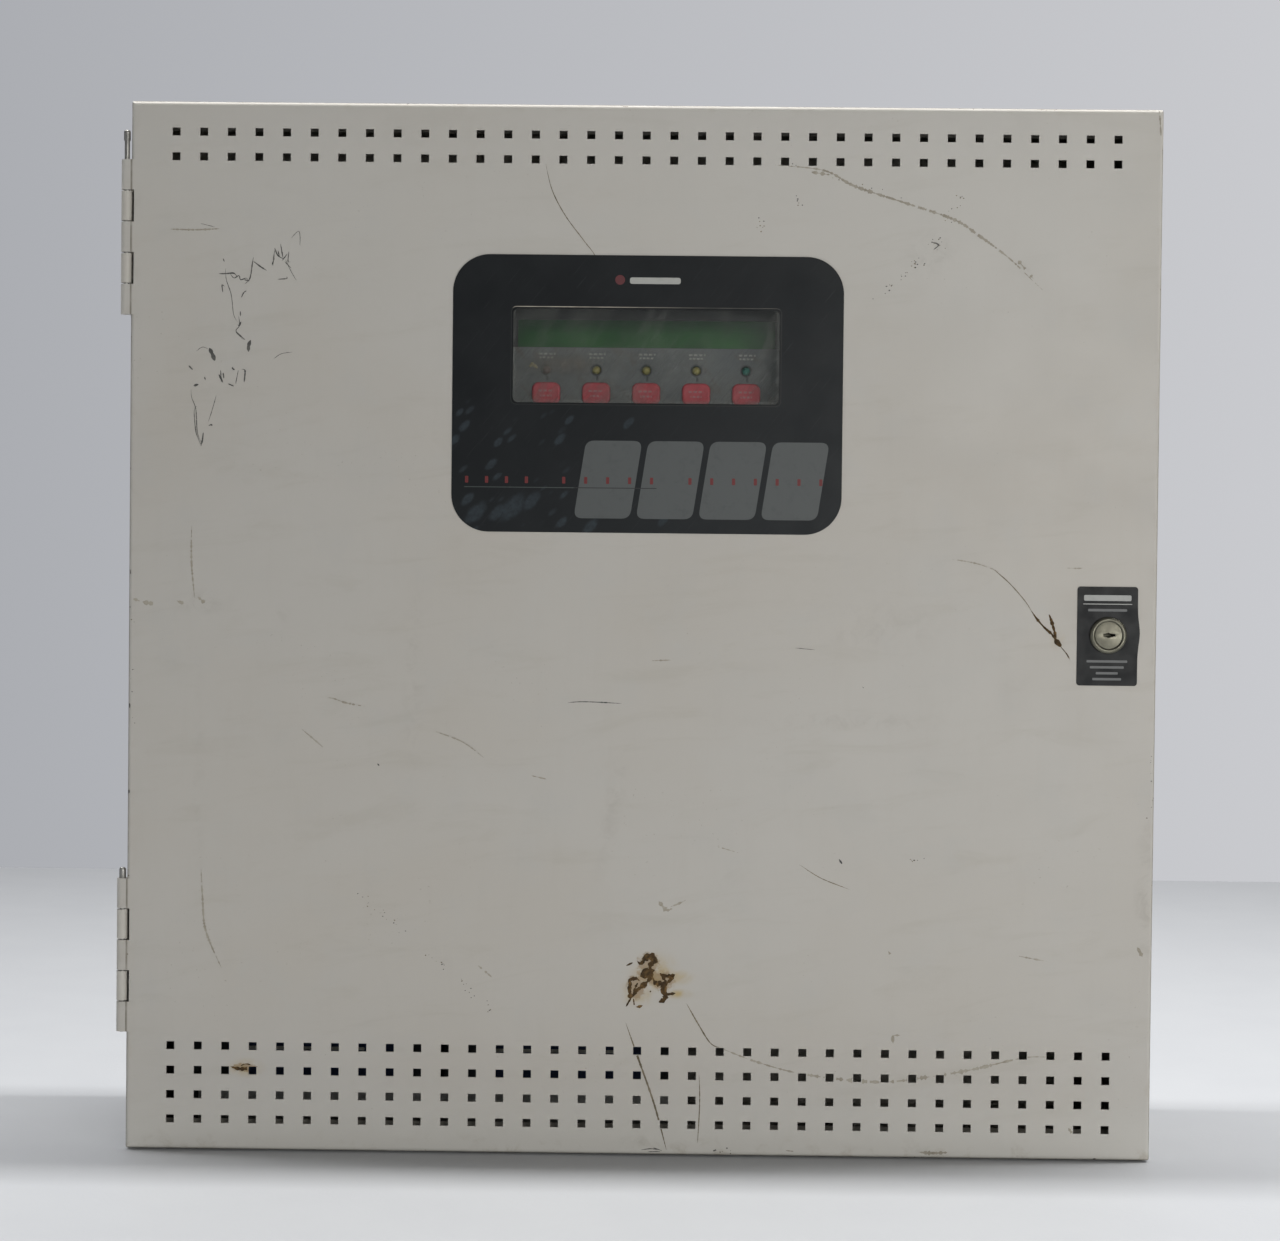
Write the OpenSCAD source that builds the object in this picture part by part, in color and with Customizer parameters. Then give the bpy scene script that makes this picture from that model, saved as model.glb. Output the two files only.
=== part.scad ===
// Wall-mounted fire alarm control panel: sheet-steel cabinet, perforated hinged door with a
// display window and cam lock, display unit, main board, transformer and standby batteries.
// Frame: X to the right, Y towards the wall, Z up. The origin is the centre of the back face.

/* [Cabinet] */
// Overall depth from the wall to the face of the door
panel_depth = 152.4; // [150:0.2:156]
// Height of the cabinet, slightly taller than the door
cabinet_h = 624; // [624:0.5:626]
// Width of the cabinet
cabinet_w = 610; // [609.8:0.1:610.2]
// Width of the lip turned in around the front opening
lip_w = 15; // [12:0.5:17]
// Radius of the four fixing holes in the back
fixing_hole_r = 3.55; // [2.5:0.05:4.5]

/* [Door] */
// Width of the door
door_w = 609.6; // [609:0.1:609.6]
// Height of the door
door_h = 622.3; // [620:0.1:622.6]
// How far the door's flanges turn back
flange_depth = 19; // [16:0.5:19]
// Side of each square ventilation hole
vent_size = 4.8; // [3:0.1:6]
// Ventilation holes in a row
vent_columns = 35; // [5:2:35]
// Steel sheet of the cabinet and the door
sheet = 1.5; // [1.2:0.1:1.5]

/* [Window and label] */
// Width of the black front label
label_w = 231; // [220:1:240]
// Height of the black front label
label_h = 164; // [160:1:170]
// Corner radius of the black front label
label_corner_r = 22; // [10:1:30]
// Width of the clear window
window_w = 160; // [150:1:165]
// Height of the clear window
window_h = 58; // [56:1:60]

/* [Keys] */
// Width of a key cap
key_w = 16.6; // [14:0.2:17.4]
// Height of a key cap
key_h = 13; // [11:0.2:15]
// Distance between neighbouring keys and lamps
key_pitch = 30; // [28:0.5:30]
// How far a key travels
key_travel = 1.2; // [0.6:0.1:1.2]

/* [Hidden] */
$fn = 64;

// Planes counted from the wall at y = 0 towards the front
face_y = -panel_depth;
door_back_y = face_y + flange_depth;
door_gap = 1;
box_front_y = door_back_y + door_gap;
box_lip_back_y = box_front_y + sheet;
wall_y = -sheet;
floor_z = -cabinet_h/2 + sheet;
bend_r = 2.4;
corner_r = 2;

// Vents: rows at the top and at the bottom of the door
vent_pitch = 16.36;
vent_row_pitch = 14.6;
vent_top_z = 293.2;
vent_bottom_z = -293;
vent_rows = [
  for (i = [0, 1]) vent_top_z - i*vent_row_pitch,
  for (i = [0:3]) vent_bottom_z + i*vent_row_pitch
];

// Hinges: five knuckles each, three on the door and two on the cabinet leaf
hinge_x = -307.9;
knuckle_r = 3.175;
hinge_y = face_y + knuckle_r;
hinge_z = [230.9, -195.7];
hinge_h = 91.4;
slot_h = 19;
leaf_knuckle_h = 17.4;
tab_h = (hinge_h - 2*slot_h)/3;
slot_offset = (slot_h + tab_h)/2;
slot_edge_x = -door_w/2 + 1.7;
leaf_x = -cabinet_w/2;
leaf_front_y = hinge_y + knuckle_r + 0.6;
leaf_back_y = box_front_y + 22;
rivet_y = box_front_y + 12;
rivet_r = 2.4;
pin_r = 1.55;
pin_bore_r = 1.6;
pin_length = 92;
pin_head_h = 6.3;
pin_lift = 11.4;

// Front label, window and lock
label_c = [2, 140.5];
window_c = [1, 163];
label_t = 0.4;
window_cut_side = 1;
lock_c = [276, 1];
lock_head_r = 10.9;
lock_barrel_r = 9.5;
lock_hole_r = 9.6;
lock_bore_r = 6.4;
lock_plug_r = 6.35;
lock_face_r = 8;
lock_recess_r = 8.15;
lock_recess_floor = -0.9;
lock_face_depth = -1.9;
lock_label_t = 0.3;
cam_t = 2;
cam_front_y = box_lip_back_y + 0.7;
barrel_back_y = cam_front_y - 0.5;
tail_side = 8;

// Display unit, centred a little right of the cabinet's middle
unit_x = 1;
plate_t = 1.2;
plate_y = box_lip_back_y + 0.5;
plate_back_y = plate_y + plate_t;
plate_z = [118, 208];
plate_w = 212;
lcd_z = 178.3;
lcd_view = [154.4, 16.5];
led_z = 156.5;
key_z = 142.2;
display_board_y = plate_back_y + 9.6;
board_t = 1.6;
key_front_y = plate_y - 1.8;
key_r = 3.9;
key_flange = 1.1;
switch_h = 3.5;

// Main board and what stands on it
board_back_y = -14.9;
board_y = board_back_y - board_t;
board_w = 270;
board_z = [-70, 210];
terminal_pitch = 7.5;
terminal_h = 12;
terminal_d = 18;
terminal_entry_y = -22;
terminal_entry_depth = 4;
terminal_rows = [[-124.75, 8], [-59.75, 8], [5.25, 8], [70.25, 6]];

// Transformer, batteries and wiring
transformer_c = [-215, -110];
core_size = [82, 68, 36];
battery_size = [151, 98, 94.5];
battery_x = [-200, -44];
battery_back_y = -5;
battery_top_z = floor_z + battery_size[2];
post_offset = 62;
post_y = -90;
wire_r = 1.4;
wire_sides = 8;

// ---------------------------------------------------------------- shared shapes

// A flat outline in X and Z, given thickness from y to y + t
module upright(y, t) translate([0, y + t, 0]) rotate([90, 0, 0]) linear_extrude(t) children();

// A rod along Y that starts at y
module rod_y(y, length, r) translate([0, y, 0]) rotate([-90, 0, 0]) cylinder(h = length, r = r);

// A block from one corner to the opposite one
module block(a, b) translate(a) cube(b - a);

// A rectangle with round corners
module rounded(w, h, r) {
  square([w - 2*r, h], center = true);
  square([w, h - 2*r], center = true);
  for (x = [-1, 1], z = [-1, 1]) translate([x*(w/2 - r), z*(h/2 - r)]) circle(r);
}

// Section of a bent tray: two outside bends at the front
module tray_section(w, depth, r) {
  translate([-w/2, r]) square([w, depth - r]);
  translate([-w/2 + r, 0]) square([w - 2*r, depth]);
  for (s = [-1, 1]) translate([s*(w/2 - r), r]) circle(r);
}

// Section of a closed box: bends at the front and at the back
module box_section(w, depth, r) {
  translate([-w/2, r]) square([w, depth - 2*r]);
  translate([-w/2 + r, 0]) square([w - 2*r, depth]);
  for (s = [-1, 1], y = [r, depth - r]) translate([s*(w/2 - r), y]) circle(r);
}

// Solid tray with rounded bends on all four sides
module tray_form(w, h, depth, r) intersection() {
  translate([0, 0, -h/2]) linear_extrude(h) tray_section(w, depth, r);
  translate([-w/2, 0, 0]) rotate([0, 90, 0]) linear_extrude(w) tray_section(h, depth, r);
}

// Solid box with rounded bends on all four sides
module box_form(w, h, depth, r) intersection() {
  translate([0, 0, -h/2]) linear_extrude(h) box_section(w, depth, r);
  translate([-w/2, 0, 0]) rotate([0, 90, 0]) linear_extrude(w) box_section(h, depth, r);
}

// Pan-head screw along Y: the head's underside is at y, the head stands towards the front
module pan_screw(y, head_r, head_h, shank_r, shank) difference() {
  union() {
    rod_y(y - head_h, head_h, head_r);
    rod_y(y, shank, shank_r);
  }
  for (a = [0, 90]) rotate([0, a, 0])
    block([-head_r*0.6, y - head_h - 1, -0.5], [head_r*0.6, y - head_h*0.45, 0.5]);
}

// A tube of flat-sided rings along a list of points
function unit(v) = v/norm(v);
function heading(route, i) = unit(route[min(i + 1, len(route) - 1)] - route[max(i - 1, 0)]);
function ring(centre, along, r, sides) =
  let (side = unit(cross(along, [0.31, 0.87, 0.38])), up = cross(along, side))
  [for (k = [0:sides - 1]) centre + r*(cos(360*k/sides)*side + sin(360*k/sides)*up)];
module wire(route, r = wire_r, sides = wire_sides) {
  last = len(route) - 1;
  points = [for (i = [0:last]) each ring(route[i], heading(route, i), r, sides)];
  ends = [[for (k = [0:sides - 1]) k], [for (k = [sides - 1:-1:0]) last*sides + k]];
  quads = [for (i = [0:last - 1], k = [0:sides - 1])
    let (a = i*sides + k, b = i*sides + (k + 1) % sides) [a, a + sides, b + sides, b]];
  polyhedron(points = points, faces = concat(ends, quads), convexity = 6);
}

// ---------------------------------------------------------------- cabinet

// Ring slot of a knockout, broken by two tabs, cut along Z through one wall
knockout_r = 14;
knockout_slot = 0.6;
module knockout() difference() {
  cylinder(h = 4*sheet, r = knockout_r, center = true);
  cylinder(h = 5*sheet, r = knockout_r - knockout_slot, center = true);
  cube([2*knockout_r + 2, 3, 5*sheet], center = true);
}

fixing_x = 254;
fixing_z = [-190, 254];
knockout_y = -55;
rivet_z = [-34, 0, 34];

module back_box() color("#8f8e88") difference() {
  intersection() {
    translate([0, box_front_y, 0]) box_form(cabinet_w, cabinet_h, -box_front_y, bend_r);
    upright(box_front_y - 1, 2 - box_front_y) rounded(cabinet_w, cabinet_h, corner_r);
  }
  translate([0, box_lip_back_y, 0]) box_form(cabinet_w - 2*sheet, cabinet_h - 2*sheet,
    -box_front_y - 2*sheet, bend_r - sheet);
  upright(box_front_y - 1, sheet + 2) rounded(cabinet_w - 2*lip_w, cabinet_h - 2*lip_w, 4);
  for (x = [-fixing_x, fixing_x], z = fixing_z)
    translate([x, 0, z]) rod_y(-2*sheet, 3*sheet, fixing_hole_r);
  for (x = [-210, -70, 70, 210]) translate([x, knockout_y, cabinet_h/2]) knockout();
  for (x = [110, 220]) translate([x, knockout_y, -cabinet_h/2]) knockout();
  for (s = [-1, 1], z = [140, 20]) translate([s*cabinet_w/2, knockout_y, z])
    rotate([0, 90, 0]) knockout();
  for (zc = hinge_z, dz = rivet_z) translate([leaf_x, rivet_y, zc + dz])
    rotate([0, 90, 0]) cylinder(h = 4*sheet, r = rivet_r*0.66, center = true);
}

// Cabinet half of each hinge: a plate on the outside of the wall with two rolled knuckles
module hinge_leaf(zc) difference() {
  union() {
    block([leaf_x - sheet, leaf_front_y, zc - hinge_h/2], [leaf_x, leaf_back_y, zc + hinge_h/2]);
    for (s = [-1, 1]) translate([0, 0, zc + s*slot_offset - leaf_knuckle_h/2]) {
      translate([hinge_x, hinge_y, 0]) cylinder(h = leaf_knuckle_h, r = knuckle_r);
      block([leaf_x - sheet, hinge_y, 0], [leaf_x, leaf_front_y + 1, leaf_knuckle_h]);
    }
  }
  translate([hinge_x, hinge_y, zc - hinge_h]) cylinder(h = 2*hinge_h, r = pin_bore_r);
  for (dz = rivet_z) translate([leaf_x, rivet_y, zc + dz])
    rotate([0, 90, 0]) cylinder(h = 4*sheet, r = rivet_r*0.66, center = true);
}
module hinge_leaves() color("#a5a299") for (zc = hinge_z) hinge_leaf(zc);

// Blind rivets through the leaves and the cabinet's side
module hinge_rivets() color("#b9b9b6") for (zc = hinge_z, dz = rivet_z)
  translate([leaf_x - sheet, rivet_y, zc + dz]) rotate([0, 90, 0]) difference() {
    union() {
      translate([0, 0, -1]) cylinder(h = 1, r1 = rivet_r*0.75, r2 = rivet_r);
      cylinder(h = 2*sheet, r = rivet_r*0.66);
      translate([0, 0, 2*sheet]) cylinder(h = 1.6, r = rivet_r*0.8);
    }
    translate([0, 0, -2]) cylinder(h = 2.5, r = rivet_r*0.3);
  }

// Hinge pin with a rounded head, seated on the top knuckle when lift is 0
module hinge_pin(zc, lift) color("#8d8f8c")
  translate([hinge_x, hinge_y, zc + hinge_h/2 + lift]) {
    translate([0, 0, -pin_length + 0.4]) cylinder(h = pin_length - 0.4, r = pin_r);
    translate([0, 0, -pin_length]) cylinder(h = 0.4, r1 = pin_r - 0.4, r2 = pin_r);
    rotate_extrude() {
      square([2, pin_head_h - 1.4]);
      square([0.6, pin_head_h]);
      intersection() {
        translate([0.6, pin_head_h - 1.4]) circle(1.4);
        square([3, pin_head_h]);
      }
    }
  }
module hinge_pin_upper() hinge_pin(hinge_z[0], pin_lift);
module hinge_pin_lower() hinge_pin(hinge_z[1], 0.1);

// ---------------------------------------------------------------- door

module door_knuckles(zc) for (k = [-1, 0, 1])
  translate([0, 0, zc + k*(slot_h + tab_h) - tab_h/2]) {
    translate([hinge_x, hinge_y, 0]) cylinder(h = tab_h, r = knuckle_r);
    block([hinge_x, face_y, 0], [-door_w/2 + bend_r, face_y + sheet, tab_h]);
  }

module door() color("#aba79d") difference() {
  union() {
    difference() {
      intersection() {
        translate([0, face_y, 0]) tray_form(door_w, door_h, flange_depth, bend_r);
        upright(face_y - 1, flange_depth + 2) rounded(door_w, door_h, corner_r);
      }
      translate([0, face_y + sheet, 0])
        tray_form(door_w - 2*sheet, door_h - 2*sheet, flange_depth, bend_r - sheet);
      for (zc = hinge_z, s = [-1, 1]) translate([0, 0, zc + s*slot_offset])
        block([-door_w, face_y - 1, -slot_h/2], [slot_edge_x, leaf_front_y + 1, slot_h/2]);
    }
    for (zc = hinge_z) door_knuckles(zc);
  }
  for (zc = hinge_z)
    translate([hinge_x, hinge_y, zc - hinge_h]) cylinder(h = 2*hinge_h, r = pin_bore_r);
  upright(face_y - 1, sheet + 2) {
    for (i = [0:vent_columns - 1], z = vent_rows)
      translate([(i - (vent_columns - 1)/2)*vent_pitch, z]) square(vent_size, center = true);
    translate(window_c) rounded(window_w - 2*window_cut_side, window_h - 2*window_cut_side, 2);
    translate(lock_c) circle(lock_hole_r);
  }
}

// Black printed label around the clear window
module front_overlay() color("#17191c") upright(face_y - label_t, label_t) difference() {
  translate(label_c) rounded(label_w, label_h, label_corner_r);
  translate(window_c) rounded(window_w, window_h, 3);
}

module window_lens() color("#9aa39f", 0.4) upright(face_y - label_t, label_t)
  translate(window_c) rounded(window_w, window_h, 3);

module lock_label() color("#1b1c1f") upright(face_y - lock_label_t, lock_label_t)
  translate(lock_c) difference() {
    translate([-0.5, -0.6]) rounded(35.8, 58.6, 1.8);
    circle(lock_hole_r);
  }

// Paper card stuck to the inside of the door
module inside_label() color("#d9d7cf") upright(face_y + sheet, 0.3)
  translate([0, -90]) rounded(240, 160, 3);

// ---------------------------------------------------------------- cam lock

module at_lock() translate([lock_c[0], 0, lock_c[1]]) children();

lock_head_y = face_y - lock_label_t;
module lock_housing() color("#b7b09c") at_lock() rotate([-90, 0, 0]) translate([0, 0, lock_head_y])
  rotate_extrude() polygon([
    [lock_bore_r, lock_recess_floor], [lock_recess_r, lock_recess_floor],
    [lock_recess_r, lock_face_depth], [8.8, -2.6], [9.5, -2.6], [lock_head_r, -1.3],
    [lock_head_r, 0], [lock_barrel_r, 0], [lock_barrel_r, barrel_back_y - lock_head_y],
    [lock_bore_r, barrel_back_y - lock_head_y]
  ]);

// Hexagon nut that clamps the housing from behind the door
module lock_nut() color("#a8a79f") at_lock() difference() {
  translate([0, face_y + sheet, 0]) rotate([-90, 0, 0]) cylinder(h = 3.5, r = 14.5, $fn = 6);
  rod_y(face_y, 10, lock_hole_r);
}

// Turning plug with a round face over its keyway; the square tail carries the cam
module lock_plug() color("#c2baa6") at_lock() difference() {
  union() {
    rod_y(lock_head_y + lock_face_depth, 0.9, lock_face_r);
    rod_y(lock_head_y + lock_face_depth, barrel_back_y - lock_head_y - lock_face_depth, lock_plug_r);
    block([-tail_side/2, barrel_back_y, -tail_side/2],
      [tail_side/2, cam_front_y + cam_t + 0.5, tail_side/2]);
  }
  block([-4.2, lock_head_y - 3, -0.8], [4.2, lock_head_y + 12, 0.8]);
  block([-1.6, lock_head_y - 3, -1.8], [1.6, lock_head_y + 12, 0]);
  rod_y(barrel_back_y - 6, 20, 2.5);
}

// Flat cam, pointing up while the door is unlocked
cam_w = 15;
cam_reach = 24.5;
module lock_cam() color("#b3b2aa") at_lock() upright(cam_front_y, cam_t) difference() {
  union() {
    circle(cam_w/2);
    translate([-cam_w/2, 0]) square([cam_w, cam_reach - 4]);
    translate([-cam_w/2 + 4, 0]) square([cam_w - 8, cam_reach]);
    for (s = [-1, 1]) translate([s*(cam_w/2 - 4), cam_reach - 4]) circle(4);
  }
  square(tail_side, center = true);
}

module cam_screw() color("#9c9b94") at_lock() difference() {
  union() {
    rod_y(cam_front_y + cam_t + 0.5, 3, 5.5);
    rod_y(cam_front_y - 5, cam_t + 6, 2.5);
  }
  block([-4, cam_front_y + cam_t + 2.3, -0.6], [4, cam_front_y + cam_t + 5, 0.6]);
}

// ---------------------------------------------------------------- display unit

bracket_w = 290;
bracket_z = [112, 214];
bracket_t = 1.2;
bracket_y = plate_back_y;
bracket_foot = 14;
foot_screw_z = [124, 202];

// Bridge of sheet steel over the main board that carries the display unit
module display_bracket() color("#b4b3ab") translate([unit_x, 0, 0]) difference() {
  union() {
    block([-bracket_w/2, bracket_y, bracket_z[0]],
      [bracket_w/2, bracket_y + bracket_t, bracket_z[1]]);
    for (s = [-1, 1]) {
      block([s*(bracket_w - bracket_t)/2 - bracket_t/2, bracket_y, bracket_z[0]],
        [s*(bracket_w - bracket_t)/2 + bracket_t/2, wall_y, bracket_z[1]]);
      block([s*(bracket_w + bracket_foot)/2 - bracket_foot/2, wall_y - bracket_t, bracket_z[0]],
        [s*(bracket_w + bracket_foot)/2 + bracket_foot/2, wall_y, bracket_z[1]]);
    }
  }
  upright(bracket_y - 1, bracket_t + 2) translate([0, (plate_z[0] + plate_z[1])/2])
    rounded(plate_w - 14, plate_z[1] - plate_z[0] - 6, 2);
  block([-bracket_w, -105, 130], [bracket_w, -30, 196]);
  for (s = [-1, 1], z = foot_screw_z) translate([s*(bracket_w/2 + 8), 0, z])
    rod_y(wall_y - 3, 6, 2);
  translate([-unit_x, 0, 0]) plate_corners() rod_y(bracket_y - 1, bracket_t + 2, 1.6);
}

// Larger screws that hold the bracket, the transformer and the battery stop
module chassis_screw(under, plate) pan_screw(under, 4, 2.4, 2, plate);
module chassis_screws() color("#c4c4c0") {
  for (s = [-1, 1], z = foot_screw_z) translate([unit_x + s*(bracket_w/2 + 8), 0, z])
    chassis_screw(wall_y - bracket_t, bracket_t);
  for (s = [-1, 1]) translate([transformer_c[0] + s*strap_screw_x, 0, transformer_c[1]])
    chassis_screw(wall_y - strap_t, strap_t);
  for (x = stop_screw_x) translate([x, stop_screw_y, floor_z + sheet]) rotate([-90, 0, 0])
    chassis_screw(0, sheet);
}

// Grey face plate with openings for the display, the lamps and the keys
lcd_cut = [161.4, 26.2];
lcd_cut_z = lcd_z - 8.5;
plate_screw = [102.5, 41.5];
module plate_corners() for (x = [-1, 1], z = [-1, 1])
  translate([unit_x + x*plate_screw[0], 0, (plate_z[0] + plate_z[1])/2 + z*plate_screw[1]])
    children();
module display_plate() color("#8f918c") difference() {
  upright(plate_y, plate_t) difference() {
    translate([unit_x, (plate_z[0] + plate_z[1])/2])
      rounded(plate_w, plate_z[1] - plate_z[0], 2);
    translate([unit_x - lcd_cut[0]/2, lcd_cut_z]) square(lcd_cut);
    for (i = [-2:2]) translate([unit_x + i*key_pitch, led_z]) circle(3);
    for (i = [-2:2]) translate([unit_x + i*key_pitch, key_z])
      rounded(key_w + 0.6, key_h + 0.6, key_r + 0.3);
  }
  plate_corners() rod_y(plate_y - 1, plate_t + 2, 1.6);
}

// Character display: black pressed frame and green glass
lcd_body = [172, 31];
module lcd_frame() color("#141517") difference() {
  upright(plate_back_y, 9) translate([unit_x, lcd_z]) rounded(lcd_body[0], lcd_body[1], 1);
  upright(plate_back_y - 1, 2) translate([unit_x, lcd_z]) square(lcd_view, center = true);
  upright(plate_back_y + 0.9, 3) translate([unit_x, lcd_z])
    square([lcd_view[0] + 6, lcd_view[1] + 6], center = true);
}
module lcd_glass() color("#2f7d3a") upright(plate_back_y + 1, 2.5) translate([unit_x, lcd_z])
  square([lcd_view[0] + 6, lcd_view[1] + 6], center = true);

// Circuit board behind the plate, on four spacers
module display_board() color("#1d5a34") upright(display_board_y, board_t)
  translate([unit_x, (plate_z[0] + plate_z[1])/2]) rounded(190, 80, 2);
spacer_at = [90, 34];
module display_spacers() color("#c7b26a") for (x = [-1, 1], z = [-1, 1])
  translate([unit_x + x*spacer_at[0], plate_back_y, (plate_z[0] + plate_z[1])/2 + z*spacer_at[1]])
    rotate([-90, 0, 0]) cylinder(h = display_board_y - plate_back_y, r = 3, $fn = 6);

module key_switches() color("#26272a") for (i = [-2:2])
  translate([unit_x + i*key_pitch, 0, key_z]) {
    block([-3, display_board_y - switch_h, -3], [3, display_board_y, 3]);
    rod_y(display_board_y - switch_h - 1.1, 2, 1.75);
  }

// Indicator lamps on spacers, their domes through the face plate
led_seat_y = plate_y + 7.8;
module led(i) translate([unit_x + i*key_pitch, 0, led_z]) {
  translate([0, led_seat_y - 6.1, 0]) sphere(2.5);
  rod_y(led_seat_y - 6.1, 6.1, 2.5);
}
module led_alarm() color("#7d1b1b") led(-2);
module leds_trouble() color("#b8a52a") for (i = [-1:1]) led(i);
module led_power() color("#127a66") led(2);
module led_spacers() color("#e8e6df") for (i = [-2:2]) translate([unit_x + i*key_pitch, 0, led_z])
  rod_y(led_seat_y, display_board_y - led_seat_y, 2.8);

// Key cap with a retaining flange behind the plate and a stem towards its switch
key_stem_y = display_board_y - switch_h - 1.1 - key_travel - 0.2;
module key_cap(i) color("#b8434a") translate([unit_x + i*key_pitch, 0, key_z]) {
  upright(key_front_y, plate_back_y + 0.2 - key_front_y) rounded(key_w, key_h, key_r);
  upright(plate_back_y + 0.1, 1.2) rounded(key_w + 2*key_flange, key_h + 2*key_flange, key_r);
  rod_y(plate_back_y + 1, key_stem_y - plate_back_y - 1, 3);
}
module key_1() key_cap(-2);
module key_2() key_cap(-1);
module key_3() key_cap(0);
module key_4() key_cap(1);
module key_5() key_cap(2);

// ---------------------------------------------------------------- main board

standoff_at = [[-131, -62], [-131, 70], [-131, 204], [0, 70], [0, 204],
  [131, -62], [131, 70], [131, 204]];
module at_standoffs() for (p = standoff_at) translate([unit_x + p[0], 0, p[1]]) children();

module main_board() color("#1f6b3a") difference() {
  upright(board_y, board_t) translate([unit_x, (board_z[0] + board_z[1])/2])
    rounded(board_w, board_z[1] - board_z[0], 3);
  at_standoffs() rod_y(board_y - 1, board_t + 2, 1.6);
}
module board_standoffs() color("#c9c3ae") at_standoffs() translate([0, board_back_y, 0])
  rotate([-90, 0, 0]) cylinder(h = wall_y - board_back_y, r = 3.4, $fn = 6);
// Small screws that hold the main board and the display's face plate
module machine_screws() color("#c9c9c6") {
  at_standoffs() pan_screw(board_y, 2.8, 1.9, 1.6, board_t);
  plate_corners() pan_screw(plate_y, 2.8, 1.9, 1.6, plate_t + bracket_t);
}

// Rows of screw terminals along the bottom edge of the board
module each_pole() for (row = terminal_rows, i = [0:row[1] - 1])
  translate([row[0] + (i + 0.5)*terminal_pitch, 0, board_z[0]]) children();
module terminal_blocks() color("#2c6e49") difference() {
  for (row = terminal_rows) block([row[0], board_y - terminal_d, board_z[0]],
    [row[0] + row[1]*terminal_pitch, board_y, board_z[0] + terminal_h]);
  each_pole() {
    block([-2.6, terminal_entry_y - 2.6, -1], [2.6, terminal_entry_y + 2.6, terminal_entry_depth]);
    translate([0, 0, terminal_h/2 + 1]) rod_y(board_y - terminal_d - 1, 4, 2.4);
  }
}
module terminal_screws() color("#c8b88a") each_pole() translate([0, 0, terminal_h/2 + 1])
  difference() {
    rod_y(board_y - terminal_d + 1, 2, 2.2);
    block([-3, board_y - terminal_d, -0.4], [3, board_y - terminal_d + 1.6, 0.4]);
  }

module relays() color("#3a5f9a") for (x = [62, 84, 106], z = [-42, -14])
  block([x, board_y - 16, z], [x + 16, board_y, z + 20]);

// Integrated circuits: [x, z, width, height, thickness]
chip_list = [[-22, 76, 30, 30, 4.2], [40, 82, 24, 24, 3.4], [-60, 78, 36, 14, 4], [-60, 56, 36, 14, 4],
  [10, 34, 20, 8, 4], [10, 16, 20, 8, 4], [10, -2, 20, 8, 4], [-20, 150, 36, 14, 4],
  [30, 150, 36, 14, 4]];
module chips() color("#232427") for (c = chip_list)
  block([c[0] - c[2]/2, board_y - c[4], c[1] - c[3]/2], [c[0] + c[2]/2, board_y, c[1] + c[3]/2]);

// Electrolytic capacitors: [x, z, radius, height]
capacitor_list = [[-112, -28, 11, 36], [-86, -28, 11, 36], [-116, 2, 6, 20], [-100, 2, 6, 20],
  [-84, 2, 6, 20], [44, -30, 5, 12], [44, -16, 5, 12]];
module capacitors() color("#20345e") for (c = capacitor_list) translate([c[0], 0, c[1]])
  rod_y(board_y - c[3], c[3], c[2]);

module heat_sink() color("#a9abad") {
  block([-126, board_y - 4, 20], [-88, board_y, 66]);
  for (i = [0:7]) block([-126 + i*5.2, board_y - 28, 20], [-124.4 + i*5.2, board_y - 3, 66]);
}

// Glass fuses held crosswise in spring clips
fuse_z = [-42, -26, -10];
fuse_x = -42;
fuse_y = board_y - 6.5;
module fuse_clips() color("#bdb9ab") for (z = fuse_z, s = [-1, 1])
  translate([fuse_x + s*8, 0, z]) difference() {
    block([-2, board_y - 9, -3.4], [2, board_y, 3.4]);
    translate([-3, fuse_y, 0]) rotate([0, 90, 0]) cylinder(h = 6, r = 2.6);
    block([-3, board_y - 10, -1.9], [3, fuse_y, 1.9]);
  }
module fuses() color("#d3d6d2") for (z = fuse_z) translate([fuse_x - 10, fuse_y, z])
  rotate([0, 90, 0]) cylinder(h = 20, r = 2.6);

module sounder() color("#1a1a1c") translate([112, 0, 66]) difference() {
  rod_y(board_y - 12, 12, 13);
  rod_y(board_y - 13, 5, 2);
}

// Two plug-and-socket pairs for the flat cable, one on each board
ribbon_x = 10;
ribbon_w = 33;
socket_z = [104, 160];
socket_w = 40;
display_back_y = display_board_y + board_t;
module ribbon_sockets() color("#1d1d20") {
  block([ribbon_x - socket_w/2, board_y - 15, socket_z[0] - 4.5],
    [ribbon_x + socket_w/2, board_y, socket_z[0] + 4.5]);
  block([ribbon_x - socket_w/2, display_back_y, socket_z[1] - 4.5],
    [ribbon_x + socket_w/2, display_back_y + 15, socket_z[1] + 4.5]);
}

// Flat cable: straight up, a bend forward, across, and a bend up into the display
ribbon_t = 1.2;
ribbon_r = 14;
ribbon_y = [board_y - 12, display_back_y + 12];
ribbon_mid_z = (socket_z[0] + socket_z[1])/2;
function arc(c, r, a0, a1, n = 16) =
  [for (i = [0:n]) c + r*[cos(a0 + (a1 - a0)*i/n), sin(a0 + (a1 - a0)*i/n)]];
function ribbon_side(half) = concat(
  [[ribbon_y[0] - half, socket_z[0] + 4.5]],
  arc([ribbon_y[0] - ribbon_r, ribbon_mid_z - ribbon_r], ribbon_r - half, 0, 90),
  arc([ribbon_y[1] + ribbon_r, ribbon_mid_z + ribbon_r], ribbon_r + half, 270, 180),
  [[ribbon_y[1] - half, socket_z[1] - 4.5]]);
function reversed(list) = [for (i = [len(list) - 1:-1:0]) list[i]];
module ribbon_cable() color("#9aa0a6") translate([ribbon_x - ribbon_w/2, 0, 0])
  rotate([90, 0, 90]) linear_extrude(ribbon_w)
    polygon(concat(ribbon_side(ribbon_t/2), reversed(ribbon_side(-ribbon_t/2))));

// ---------------------------------------------------------------- power supply

module at_transformer() translate([transformer_c[0], wall_y, transformer_c[1]]) children();

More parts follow.
